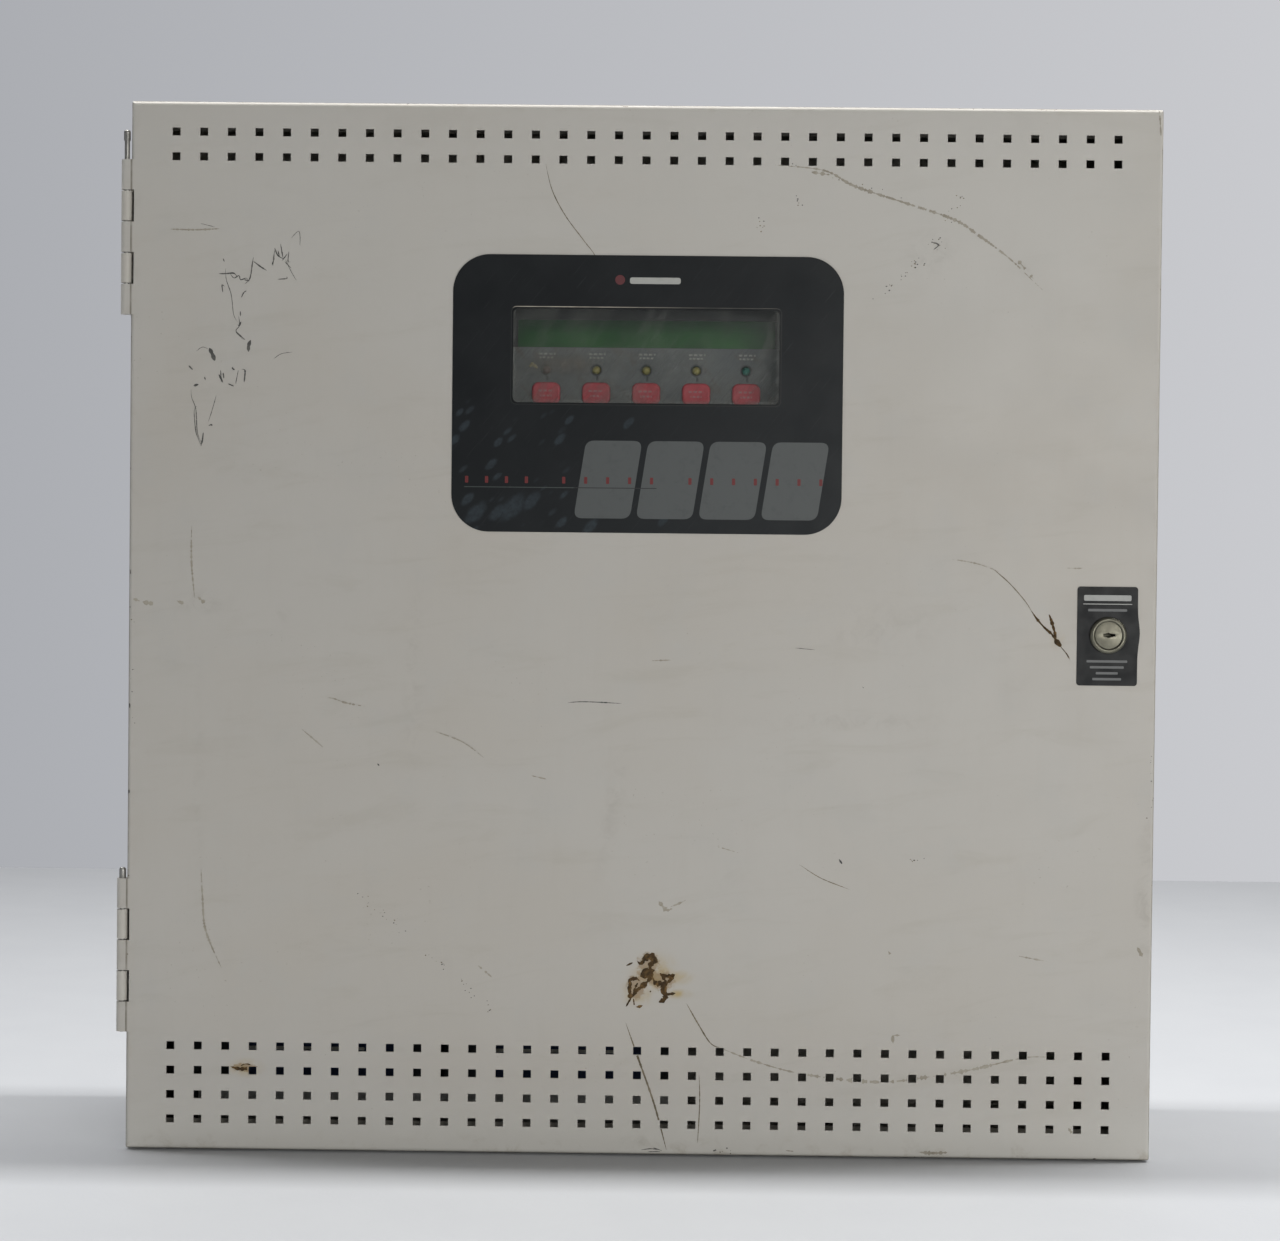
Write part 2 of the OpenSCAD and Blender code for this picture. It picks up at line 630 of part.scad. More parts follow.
// Laminated core with two windows for the winding
module transformer_core() color("#4a4642") at_transformer() difference() {
  block([-core_size[0]/2, -core_size[1], -core_size[2]/2], [core_size[0]/2, 0, core_size[2]/2]);
  for (s = [-1, 1]) translate([s*20, 0, 0])
    block([-7, -core_size[1] + 14, -core_size[2]], [7, -14, core_size[2]]);
}
module transformer_coil() color("#c9a227") at_transformer() difference() {
  block([-27, -core_size[1] + 14, -30], [27, -14, 30]);
  block([-13, -core_size[1] + 13, -core_size[2]/2], [13, -13, core_size[2]/2]);
}
// Steel strap over the core with a foot on each side
strap_t = 1.5;
strap_w = 30;
strap_foot = 16;
strap_screw_x = core_size[0]/2 + 9;
module transformer_bracket() color("#a3a29b") at_transformer() difference() {
  union() {
    block([-core_size[0]/2 - strap_t, -core_size[1] - strap_t, -strap_w/2],
      [core_size[0]/2 + strap_t, 0, strap_w/2]);
    block([-core_size[0]/2 - strap_foot, -strap_t, -strap_w/2],
      [core_size[0]/2 + strap_foot, 0, strap_w/2]);
  }
  block([-core_size[0]/2, -core_size[1], -strap_w], [core_size[0]/2, 1, strap_w]);
  for (s = [-1, 1]) translate([s*strap_screw_x, 0, 0]) rod_y(-strap_t - 1, strap_t + 2, 2);
}

// Low-voltage leads from the winding to the board
coil_top_z = transformer_c[1] + 30;
transformer_routes = [
  [[-225, -44, coil_top_z], [-225, -44, -74], [-222, -46, -66], [-212, -48, -60],
    [-195, -49, -60], [-175, -48, -68], [-155, -44, -82], [-135, -38, -94], [-118, -30, -98],
    [-106, -24, -96], [-100, -22, -90], [-98.5, -22, -82], [-98.5, -22, -66]],
  [[-209, -44, coil_top_z], [-209, -44, -76], [-206, -45, -70], [-198, -44, -67],
    [-185, -43, -70], [-168, -41, -80], [-148, -38, -94], [-128, -35, -104], [-112, -32, -108],
    [-99, -26, -106], [-92, -22, -97], [-91, -22, -86], [-91, -22, -66]]
];
module transformer_leads() color("#d8c23a") for (route = transformer_routes) wire(route);

// Barrier strip for the mains supply under a plastic cover
mains_x = [-266, -194];
mains_z = [28, 54];
module mains_terminal() color("#222326") difference() {
  block([mains_x[0], wall_y - 13, mains_z[0]], [mains_x[1], wall_y, mains_z[1]]);
  for (i = [0:5]) block([mains_x[0] + 4 + i*11, wall_y - 14, mains_z[0] + 5],
    [mains_x[0] + 13 + i*11, wall_y - 8, mains_z[1] - 5]);
}
module mains_cover() color("#c9c8c2") difference() {
  block([mains_x[0] - 5, wall_y - 22, mains_z[0] - 5], [mains_x[1] + 5, wall_y, mains_z[1] + 5]);
  block([mains_x[0] - 3.5, wall_y - 20.5, mains_z[0] - 3.5],
    [mains_x[1] + 3.5, wall_y + 1, mains_z[1] + 3.5]);
}

// Supply leads from under the cover down to the winding
mains_exit_z = mains_z[0] - 5;
mains_routes = [
  [[-246, -16, mains_exit_z], [-246, -16, 12], [-246, -18, -8], [-244, -24, -30],
    [-240, -33, -50], [-238, -39, -64], [-238, -40, coil_top_z]],
  [[-236, -16, mains_exit_z], [-236, -16, 12], [-235, -17, -8], [-230, -20, -30],
    [-222, -24, -50], [-219, -26, -64], [-219, -26, coil_top_z]]
];
module mains_leads() color("#2b2b2d") for (route = mains_routes) wire(route);

module ground_stud() color("#b9a25a") translate([-272, 0, -30]) {
  rod_y(wall_y - 16, 16, 2.5);
  translate([0, wall_y - 5, 0]) rotate([-90, 0, 0]) cylinder(h = 4, r = 4.6, $fn = 6);
  translate([0, wall_y - 11, 0]) rotate([-90, 0, 0]) cylinder(h = 4, r = 4.6, $fn = 6);
  rod_y(wall_y - 6.4, 1.2, 5.5);
}

// ---------------------------------------------------------------- batteries

module battery(x) color("#6f7f80") difference() {
  union() {
    translate([x, battery_back_y - battery_size[1]/2, floor_z])
      linear_extrude(battery_size[2] - 4) rounded(battery_size[0], battery_size[1], 3);
    translate([x, battery_back_y - battery_size[1]/2, floor_z])
      linear_extrude(battery_size[2]) rounded(battery_size[0] - 5, battery_size[1] - 5, 2);
  }
  for (s = [-1, 1]) block([x + s*post_offset - 6, post_y - 5, battery_top_z - 3],
    [x + s*post_offset + 6, post_y + 5, battery_top_z + 1]);
}
module battery_left() battery(battery_x[0]);
module battery_right() battery(battery_x[1]);
module battery_terminals() color("#cfcdc4") for (x = battery_x, s = [-1, 1])
  translate([x + s*post_offset, post_y, battery_top_z]) {
    block([-5, -3.5, -3], [5, 3.5, -2]);
    block([-3.2, -0.4, -2], [3.2, 0.4, 6]);
  }
module battery_sleeves() color("#e6e3da") for (x = battery_x, s = [-1, 1])
  translate([x + s*post_offset, post_y, battery_top_z]) difference() {
    block([-4.5, -2.5, -1], [4.5, 2.5, 15]);
    block([-3.2, -0.4, -2], [3.2, 0.4, 6]);
  }

// Leads from the outer posts to the board and the link between the two batteries
sleeve_top_z = battery_top_z + 15;
battery_routes = [
  [[-262, -90, sleeve_top_z], [-262, -90, -194], [-258, -88, -186], [-248, -84, -181],
    [-230, -78, -180], [-205, -70, -180], [-180, -60, -180], [-158, -48, -176],
    [-142, -36, -164], [-131, -27, -146], [-124, -23, -126], [-121, -22, -106],
    [-121, -22, -66]],
  [[18, -90, sleeve_top_z], [18, -90, -194], [14, -88, -186], [4, -84, -180],
    [-14, -78, -176], [-38, -68, -172], [-62, -55, -164], [-84, -41, -152],
    [-100, -30, -136], [-110, -24, -118], [-113.5, -22, -104], [-113.5, -22, -66]],
  [[-138, -90, sleeve_top_z], [-138, -90, -196], [-136, -90, -190], [-130, -90, -184],
    [-122, -90, -182], [-114, -90, -184], [-108, -90, -190], [-106, -90, -196],
    [-106, -90, sleeve_top_z]]
];
module battery_wires() color("#9c2f2a") for (route = battery_routes) wire(route);

// Angle on the floor that keeps the batteries from sliding forward
stop_y = battery_back_y - battery_size[1];
stop_x = [-270, 26];
stop_screw_x = [-250, 6];
stop_screw_y = stop_y - 9;
module battery_stop() color("#a9a8a1") difference() {
  union() {
    block([stop_x[0], stop_y - sheet, floor_z], [stop_x[1], stop_y, floor_z + 28]);
    block([stop_x[0], stop_y - 16, floor_z], [stop_x[1], stop_y, floor_z + sheet]);
  }
  for (x = stop_screw_x) translate([x, stop_screw_y, floor_z - 1]) cylinder(h = 4, r = 2);
}

back_box();
hinge_leaves();
hinge_rivets();
hinge_pin_upper();
hinge_pin_lower();
door();
front_overlay();
window_lens();
lock_label();
inside_label();
lock_housing();
lock_nut();
lock_plug();
lock_cam();
cam_screw();
display_bracket();
chassis_screws();
display_plate();
lcd_frame();
lcd_glass();
display_board();
display_spacers();
key_switches();
led_alarm();
leds_trouble();
led_power();
led_spacers();
key_1();
key_2();
key_3();
key_4();
key_5();
main_board();
board_standoffs();
machine_screws();
terminal_blocks();
terminal_screws();
relays();
chips();
capacitors();
heat_sink();
fuse_clips();
fuses();
sounder();
ribbon_sockets();
ribbon_cable();
transformer_core();
transformer_coil();
transformer_bracket();
transformer_leads();
mains_terminal();
mains_cover();
mains_leads();
ground_stud();
battery_left();
battery_right();
battery_terminals();
battery_sleeves();
battery_wires();
battery_stop();
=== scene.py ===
"""Looks of the wall-mounted fire alarm control panel: camera, light, materials and detailed pieces."""
import math
import random

import bmesh
import bpy
from mathutils import Euler, Matrix, Vector
from mathutils.bvhtree import BVHTree
from mathutils.noise import noise as soft_noise


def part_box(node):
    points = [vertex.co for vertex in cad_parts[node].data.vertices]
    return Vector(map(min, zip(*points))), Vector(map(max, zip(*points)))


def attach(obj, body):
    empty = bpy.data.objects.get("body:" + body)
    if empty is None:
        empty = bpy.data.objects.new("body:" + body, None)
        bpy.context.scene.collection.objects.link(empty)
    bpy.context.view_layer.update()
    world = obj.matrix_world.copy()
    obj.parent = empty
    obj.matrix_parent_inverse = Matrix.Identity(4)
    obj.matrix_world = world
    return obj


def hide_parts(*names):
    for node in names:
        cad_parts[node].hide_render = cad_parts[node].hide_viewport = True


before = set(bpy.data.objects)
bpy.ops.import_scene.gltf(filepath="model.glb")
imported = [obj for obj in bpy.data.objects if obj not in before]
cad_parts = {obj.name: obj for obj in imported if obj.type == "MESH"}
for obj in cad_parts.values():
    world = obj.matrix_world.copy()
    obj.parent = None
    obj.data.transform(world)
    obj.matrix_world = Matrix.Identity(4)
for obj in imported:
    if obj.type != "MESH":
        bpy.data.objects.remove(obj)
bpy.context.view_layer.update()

MM = 0.001
random.seed(11)

# ------------------------------------------------------------------ places, in millimetres


def box_mm(node):
    """Lowest and highest corner of a CAD node, in millimetres."""
    low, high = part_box(node)
    return Vector(low) / MM, Vector(high) / MM


def middle(node):
    low, high = box_mm(node)
    return (low + high) / 2


def centre_of(low, high):
    """Middle of a box seen from the front, as (x, z)."""
    return ((low.x + high.x) / 2, (low.z + high.z) / 2)


DOOR_LOW, DOOR_HIGH = box_mm("door")
FACE_Y = DOOR_LOW.y
LABEL_LOW = box_mm("front_overlay")[0]
LENS_LOW, LENS_HIGH = box_mm("window_lens")
LENS_CENTRE = centre_of(LENS_LOW, LENS_HIGH)
LENS_WIDTH, LENS_HEIGHT = LENS_HIGH.x - LENS_LOW.x, LENS_HIGH.z - LENS_LOW.z
LOCK = middle("lock_housing")
PLATE_LOW, PLATE_HIGH = box_mm("display_plate")
UNIT_X = middle("key_3").x
KEY_PITCH = middle("key_4").x - UNIT_X
KEY_Z = middle("key_3").z
LED_Z = middle("led_alarm").z
BOARD_Y = box_mm("main_board")[0].y
FLOOR_Z = box_mm("back_box")[0].z

# ------------------------------------------------------------------ colours


def rgba(colour):
    """A colour given as three linear numbers gets its alpha; a socket stays as it is."""
    if isinstance(colour, bpy.types.NodeSocket):
        return colour
    return (*colour, 1.0)


def tone(red, green, blue):
    """Linear colour from the usual 0 to 255 screen values."""
    def linear(level):
        share = level / 255
        return share / 12.92 if share <= 0.04045 else ((share + 0.055) / 1.055) ** 2.4
    return (linear(red), linear(green), linear(blue))


def shaded(colour, *shares):
    """The colour with all channels multiplied by one share, or each by its own."""
    return tuple(c * k for c, k in zip(colour, shares if len(shares) == 3 else shares * 3))


# ------------------------------------------------------------------ shader helpers


class Nodes:
    """A node tree under construction. Methods return output sockets."""

    def __init__(self, tree):
        self.nodes = tree.nodes
        self.links = tree.links

    def join(self, socket, value):
        if isinstance(value, bpy.types.NodeSocket):
            self.links.new(value, socket)
        else:
            socket.default_value = value

    def node(self, kind, inputs=None, output=0, **settings):
        made = self.nodes.new("ShaderNode" + kind)
        for key, value in settings.items():
            setattr(made, key, value)
        for key, value in (inputs or {}).items():
            self.join(made.inputs[key], value)
        return made.outputs[output]

    def split(self, vector):
        made = self.nodes.new("ShaderNodeSeparateXYZ")
        self.links.new(vector, made.inputs[0])
        return made.outputs

    def mix(self, share, a, b):
        inputs = {"Factor": share, 6: rgba(a), 7: rgba(b)}
        return self.node("Mix", inputs, output=2, data_type="RGBA", clamp_factor=True)

    def math(self, operation, *values):
        return self.node("Math", dict(enumerate(values)), operation=operation)

    def fold(self, operation, found, others):
        for value in others:
            found = self.math(operation, found, value)
        return found

    def add(self, first, *others):
        return self.fold("ADD", first, others)

    def mul(self, first, *others):
        return self.fold("MULTIPLY", first, others)

    def most(self, first, *others):
        return self.fold("MAXIMUM", first, others)

    def least(self, first, *others):
        return self.fold("MINIMUM", first, others)

    def sub(self, a, b):
        return self.math("SUBTRACT", a, b)

    def away(self, value, centre=0.0):
        """Distance of a value from a centre."""
        return self.math("ABSOLUTE", self.sub(value, centre))

    def vector(self, operation, a, b=None, scale=None, output=0):
        given = {0: a, 1: b, "Scale": scale}
        inputs = {key: value for key, value in given.items() if value is not None}
        return self.node("VectorMath", inputs, output, operation=operation)


class Shader(Nodes):
    """A material whose colour is laid on in layers; lengths are in millimetres."""

    def __init__(self, name, **surface):
        self.material = bpy.data.materials.new(name)
        self.material.use_nodes = True
        super().__init__(self.material.node_tree)
        self.nodes.clear()
        self.surface = self.nodes.new("ShaderNodeBsdfPrincipled")
        output = self.nodes.new("ShaderNodeOutputMaterial")
        self.links.new(self.surface.outputs[0], output.inputs[0])
        self.set(**surface)
        self.here = self.vector("SCALE", self.node("TexCoord", output="Object"), scale=1 / MM)
        self.x, self.y, self.z = self.split(self.here)

    def set(self, **surface):
        """Sets sockets of the shader by name, with _ for a space."""
        for key, value in surface.items():
            self.join(self.surface.inputs[key.replace("_", " ")], value)

    def done(self, **surface):
        self.set(Base_Color=self.colour, **surface)
        return self.material

    def turned(self, vector, degrees):
        return self.node("Mapping", {"Vector": vector, "Rotation": (0, math.radians(degrees), 0)})

    def stretched(self, stretch, turn=0.0):
        """Coordinates turned about Y by some degrees, then divided by stretch along each axis."""
        return self.vector("DIVIDE", self.turned(self.here, turn), stretch)

    def noise(self, size, detail=3.0, rough=0.5, warp=0.0, place=None):
        """Noise from 0 to 1 with features of about that size."""
        inputs = {"Vector": place or self.here, "Scale": 1 / size, "Detail": detail,
                  "Roughness": rough, "Distortion": warp}
        return self.node("TexNoise", inputs, output="Fac")

    def cells(self, size, place, output="Distance", spread=1.0):
        inputs = {"Vector": place, "Scale": 1 / size, "Randomness": spread}
        return self.node("TexVoronoi", inputs, output=output, feature="F1")

    def band(self, value, low, high, a=0.0, b=1.0):
        """Goes smoothly from a at low to b at high."""
        inputs = {"Value": value, "From Min": low, "From Max": high, "To Min": a, "To Max": b}
        return self.node("MapRange", inputs, interpolation_type="SMOOTHSTEP")

    def fade(self, value, low, high):
        """Goes smoothly from 1 at low to 0 at high."""
        return self.band(value, low, high, 1.0, 0.0)

    def patches(self, grain, low, high, a=0.0, b=1.0, place=None):
        """A band of a noise; grain holds what the noise is called with."""
        return self.band(self.noise(*grain, place=place), low, high, a, b)

    def inside(self, value, centre, half, soft):
        """1 where value is within half of centre, fading over soft."""
        return self.fade(self.away(value, centre), half - soft / 2, half + soft / 2)

    def length(self, vector):
        return self.vector("LENGTH", vector, output="Value")

    def blobs(self, *spots):
        """Each spot falls from its strength at (x, z) to 0 at an ellipse with those two radii."""
        found = []
        for x, z, reach_x, reach_z, turn, strength in spots:
            away = self.turned(self.vector("SUBTRACT", self.here, (x, 0, z)), turn)
            scaled = self.vector("MULTIPLY", away, (1 / reach_x, 0, 1 / reach_z))
            found.append(self.mul(self.fade(self.length(scaled), 0.0, 1.0), strength))
        return self.most(*found)

    def cloudy(self, grain, a, b, low=0.35, high=0.7):
        """Starts the colour: clouds of b in a."""
        self.colour = self.mix(self.patches(grain, low, high), a, b)

    def layer(self, mask, strength, colour):
        """Lays a colour over the one so far, as strong as the mask times the strength."""
        self.colour = self.mix(self.mul(mask, strength), self.colour, colour)

    def ramp(self, value, *stops):
        made = self.nodes.new("ShaderNodeValToRGB")
        points = made.color_ramp.elements
        for _ in stops[2:]:
            points.new(0.5)
        for point, (place, colour) in zip(points, stops):
            point.position = place
            point.color = rgba(colour)
        self.links.new(value, made.inputs[0])
        return made.outputs[0]

    def bump(self, height, depth, strength=1.0):
        """Bump from a height of 0 to 1 that stands for that depth in millimetres."""
        inputs = {"Height": height, "Distance": depth * MM, "Strength": strength}
        if self.surface.inputs["Normal"].is_linked:
            inputs["Normal"] = self.surface.inputs["Normal"].links[0].from_socket
        self.set(Normal=self.node("Bump", inputs))


# ------------------------------------------------------------------ mesh helpers


def add_object(name, data):
    made = bpy.data.objects.new(name, data)
    bpy.context.scene.collection.objects.link(made)
    return made


def part_of(curve):
    """The bmesh of a curve, which is removed."""
    holder = bpy.data.objects.new("curve", curve)
    mesh = bpy.data.meshes.new_from_object(holder)
    part = bmesh.new()
    part.from_mesh(mesh)
    bpy.data.objects.remove(holder)
    bpy.data.curves.remove(curve)
    bpy.data.meshes.remove(mesh)
    return part


class Piece:
    """Collects shapes in millimetres; done() makes them one object that rides on a body."""

    def __init__(self):
        self.mesh = bmesh.new()

    def take(self, part, skin=0):
        """Adds the faces of another bmesh, with that material index."""
        for face in part.faces:
            face.material_index = skin
        temporary = bpy.data.meshes.new("temporary")
        part.to_mesh(temporary)
        part.free()
        self.mesh.from_mesh(temporary)
        bpy.data.meshes.remove(temporary)

    def block(self, low, high, bevel=0.0, skin=0, segments=2):
        """A block from one corner to the opposite one, with rounded edges."""
        part = bmesh.new()
        low, high = Vector(low), Vector(high)
        size = high - low
        place = Matrix.Translation((low + high) / 2) @ Matrix.Diagonal((*size, 1))
        bmesh.ops.create_cube(part, size=1, matrix=place)
        if bevel:
            bmesh.ops.bevel(part, geom=part.edges[:], offset=min(bevel, min(size) * 0.45),
                            segments=segments, profile=0.5, affect="EDGES")
        self.take(part, skin)

    def lathe(self, centre, profile, axis="y", sides=40, skin=0):
        """Turns a list of (radius, distance along the axis) round a line through centre."""
        part = bmesh.new()
        turn = math.tau / sides
        rings = [[part.verts.new((radius * math.cos(k * turn), radius * math.sin(k * turn), along))
                  for k in range(sides if radius else 1)] for radius, along in profile]
        closed = profile[0] == profile[-1]
        if closed:
            rings[-1] = rings[0]
        for first, second in zip(rings, rings[1:]):
            for k in range(sides):
                corners = [first[k % len(first)], first[(k + 1) % len(first)],
                           second[(k + 1) % len(second)], second[k % len(second)]]
                corners = [c for n, c in enumerate(corners) if c not in corners[:n]]
                if len(corners) > 2:
                    part.faces.new(corners)
        for ring in (rings[0], rings[-1]):
            if len(ring) > 2 and not closed:
                part.faces.new(ring)
        for stray in [v for v in part.verts if not v.link_faces]:
            part.verts.remove(stray)
        way = {"x": Matrix.Rotation(math.pi / 2, 4, "Y"), "z": Matrix.Identity(4),
               "y": Matrix.Rotation(-math.pi / 2, 4, "X")}[axis]
        part.transform(Matrix.Translation(centre) @ way)
        bmesh.ops.recalc_face_normals(part, faces=part.faces[:])
        self.take(part, skin)

    def loft(self, loops, skin=0, closed_ends=True):
        """Joins loops of equally many points, one after the other."""
        part = bmesh.new()
        rings = [[part.verts.new(point) for point in loop] for loop in loops]
        for first, second in zip(rings, rings[1:]):
            for k in range(len(first)):
                after = (k + 1) % len(first)
                part.faces.new((first[k], first[after], second[after], second[k]))
        if closed_ends:
            part.faces.new(rings[0])
            part.faces.new(rings[-1])
        bmesh.ops.recalc_face_normals(part, faces=part.faces[:])
        self.take(part, skin)

    def outline(self, loops, front, back, bevel=0.0, skin=0):
        """A flat plate in X and Z with holes: the loops are lists of points."""
        line = bpy.data.curves.new("outline", "CURVE")
        line.dimensions = "2D"
        line.fill_mode = "BOTH"
        line.extrude = (back - front) / 2 - bevel
        line.bevel_depth = bevel
        line.bevel_resolution = 1
        line.offset = -bevel
        for loop in loops:
            spline = line.splines.new("POLY")
            spline.points.add(len(loop) - 1)
            for point, (x, z) in zip(spline.points, loop):
                point.co = (x, z, 0, 1)
            spline.use_cyclic_u = True
        part = part_of(line)
        bmesh.ops.remove_doubles(part, verts=part.verts[:], dist=0.0005)
        part.transform(Matrix.Translation((0, (front + back) / 2, 0))
                       @ Matrix.Rotation(math.pi / 2, 4, "X"))
        bmesh.ops.recalc_face_normals(part, faces=part.faces[:])
        self.take(part, skin)

    def plate(self, centre, width, height, radius, front, back, bevel=0.0, skin=0, steps=5):
        """A flat plate with round corners."""
        self.outline([rounded_loop(centre, width, height, radius, steps)], front, back, bevel, skin)

    def tube(self, points, radius, skin=0, sides=3):
        """A round tube on a smooth curve through the points, with closed ends."""
        line = bpy.data.curves.new("tube", "CURVE")
        line.dimensions = "3D"
        line.bevel_depth = radius
        line.bevel_resolution = sides
        line.resolution_u = 6
        line.use_fill_caps = True
        spline = line.splines.new("BEZIER")
        spline.bezier_points.add(len(points) - 1)
        for point, place in zip(spline.bezier_points, points):
            point.co = place
            point.handle_left_type = "AUTO"
            point.handle_right_type = "AUTO"
        self.take(part_of(line), skin)

    def done(self, name, body, *materials, slot=None, replaces=(), sharp=35):
        mesh = bpy.data.meshes.new(name)
        self.mesh.transform(Matrix.Scale(MM, 4))
        self.mesh.to_mesh(mesh)
        self.mesh.free()
        for material in materials:
            mesh.materials.append(material)
        mesh.shade_smooth()
        mesh.set_sharp_from_angle(angle=math.radians(sharp))
        made = add_object(name, mesh)
        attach(made, body)
        if replaces:
            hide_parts(*replaces)


def rounded_loop(centre, width, height, radius, steps=5):
    """Points round a rectangle with round corners, as (x, z)."""
    points = []
    for quarter, (side_x, side_z) in enumerate(((1, 1), (-1, 1), (-1, -1), (1, -1))):
        for k in range(steps + 1):
            turn = math.pi / 2 * (quarter + k / steps)
            points.append((centre[0] + side_x * (width / 2 - radius) + radius * math.cos(turn),
                           centre[1] + side_z * (height / 2 - radius) + radius * math.sin(turn)))
    return points


def circle_loop(centre, radius, steps=48):
    turn = math.tau / steps
    return [(centre[0] + radius * math.cos(k * turn), centre[1] + radius * math.sin(k * turn))
            for k in range(steps)]


def round_corners(points, radius, steps=5):
    """The same polygon with round corners."""
    found = []
    for before, corner, after in zip(points[-1:] + points[:-1], points, points[1:] + points[:1]):
        corner = Vector(corner)
        start = corner + (Vector(before) - corner).normalized() * radius
        end = corner + (Vector(after) - corner).normalized() * radius
        for k in range(steps + 1):
            t = k / steps
            point = start * (1 - t) ** 2 + corner * 2 * t * (1 - t) + end * t * t
            found.append((point.x, point.y))
    return found


def smooth_line(points, step=0.8):
    """Points about a step apart on a Catmull-Rom curve through the given ones."""
    padded = [points[0], *points, points[-1]]
    found = []
    for before, first, second, after in zip(padded, padded[1:], padded[2:], padded[3:]):
        count = max(2, int(math.dist(first, second) / step))
        for k in range(count):
            t = k / count
            found.append(tuple(
                0.5 * (2 * b + (c - a) * t + (2 * a - 5 * b + 4 * c - d) * t * t
                       + (3 * b - a - 3 * c + d) * t ** 3)
                for a, b, c, d in zip(before, first, second, after)))
    found.append(tuple(points[-1]))
    return found


def solids(node):
    """Lowest and highest corner of each separate solid of a CAD node, in millimetres."""
    part = bmesh.new()
    part.from_mesh(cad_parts[node].data)
    bmesh.ops.remove_doubles(part, verts=part.verts[:], dist=1e-6)
    waiting = set(part.verts)
    boxes = []
    while waiting:
        edge = [waiting.pop()]
        found = list(edge)
        while edge:
            near = {e.other_vert(v) for v in edge for e in v.link_edges} & waiting
            waiting -= near
            edge = list(near)
            found += edge
        corners = [[v.co[k] / MM for v in found] for k in range(3)]
        boxes.append((Vector(min(c) for c in corners), Vector(max(c) for c in corners)))
    part.free()
    return sorted(boxes, key=lambda box: tuple(round(c, 3) for c in box[0]))


def paint(node, material):
    """Gives a CAD node its material."""
    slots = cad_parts[node].data.materials
    slots.clear()
    slots.append(material)


# ------------------------------------------------------------------ camera, light and stage


def make_camera():
    """The camera stands at the height of the panel's middle, a little right of it."""
    data = bpy.data.cameras.new("camera")
    data.lens = 71.4
    data.sensor_width = 36
    pitch, roll, yaw = (math.radians(a) for a in (-1.132, -0.601, 0.571))
    level = Euler((math.pi / 2, 0, 0)).to_matrix().to_4x4()
    turn = Euler((pitch, roll, yaw), "XYZ").to_matrix().to_4x4()
    made = add_object("camera", data)
    made.matrix_world = Matrix.Translation((0.0137, -1.6565, 0.0365)) @ turn @ level
    bpy.context.scene.camera = made


def make_light(name, place, target, size, power, colour):
    data = bpy.data.lights.new(name, "AREA")
    data.shape = "RECTANGLE"
    data.size, data.size_y = size
    data.energy = power
    data.color = colour
    made = add_object(name, data)
    made.location = place
    made.rotation_euler = (Vector(target) - Vector(place)).to_track_quat("-Z", "Y").to_euler()


def make_world():
    """Pale surroundings: the wall's colour behind the panel, dimmer in front of it."""
    world = bpy.data.worlds.new("surroundings")
    world.use_nodes = True
    bpy.context.scene.world = world
    w = Nodes(world.node_tree)
    across, depth, _ = w.split(w.node("TexCoord", output="Generated"))
    side = w.node("MapRange", {"Value": across, "From Min": -0.26, "From Max": 0.26})
    wall = w.mix(side, tone(171, 173, 178), tone(202, 203, 207))
    behind = w.node("MapRange", {"Value": depth, "From Min": 0.05, "From Max": 0.6})
    w.join(w.nodes["Background"].inputs["Color"], w.mix(behind, (0.06, 0.061, 0.064), wall))


def make_table():
    """A pale surface that ends behind the panel."""
    s = Shader("table_paint")
    s.colour = s.mix(s.noise(60, 4), tone(185, 187, 191), tone(191, 193, 196))
    s.bump(s.noise(3, 4, 0.6), 0.15)
    mesh = bpy.data.meshes.new("table")
    reach, front, edge = 4, -6, 1.245
    corners = [(-reach, front), (reach, front), (reach, edge), (-reach, edge)]
    mesh.from_pydata([(x, y, FLOOR_Z * MM) for x, y in corners], [], [(0, 1, 2, 3)])
    mesh.materials.append(s.done(Roughness=0.55))
    table = add_object("table", mesh)


make_camera()
make_world()
make_table()
WARM_WHITE = (1.0, 0.995, 0.98)
make_light("top_light", (0.3, -0.012, 1.7), (0.3, -0.012, -0.3), (3.1, 0.13), 63, WARM_WHITE)
make_light("back_light", (0.4, 0.6, 1.7), (0.4, 0.5, -0.3), (3.4, 0.5), 7, WARM_WHITE)
make_light("key_light", (1.1, -2.3, 0.22), (0, -0.1, 0), (1.7, 0.6), 24, (1.0, 0.985, 0.955))
make_light("fill_light", (-1.7, -1.6, 0.35), (0, -0.1, 0), (1.2, 0.7), 2.5, (0.95, 0.98, 1.0))
bpy.context.scene.view_settings.view_transform = "Standard"

# ------------------------------------------------------------------ painted steel, metal, plastic


def steel_paint(name, base):
    """Light beige-grey paint with a fine orange peel, faint clouds and a few dirt specks."""
    s = Shader(name, Specular_IOR_Level=0.42)
    s.cloudy((170, 3, 0.5, 0.4), base, shaded(base, 0.98, 0.965, 0.945), 0.35, 0.68)
    s.layer(s.patches((38, 5, 0.6), 0.48, 0.75), 0.55, shaded(base, 0.955, 0.968, 0.98))
    streaks = s.patches((1, 4, 0.6), 0.5, 0.85, place=s.stretched((11, 11, 80)))
    s.layer(streaks, 0.05, tone(150, 143, 128))
    smears = s.patches((1, 4, 0.65, 0.6), 0.5, 0.8, place=s.stretched((70, 70, 15), 6))
    s.layer(smears, 0.16, tone(154, 148, 130))
    specks = s.mul(s.patches((1.6, 2, 0.5), 0.70, 0.76), s.patches((70, 3, 0.6), 0.5, 0.68))
    s.layer(specks, 0.4, tone(120, 108, 90))
    return s


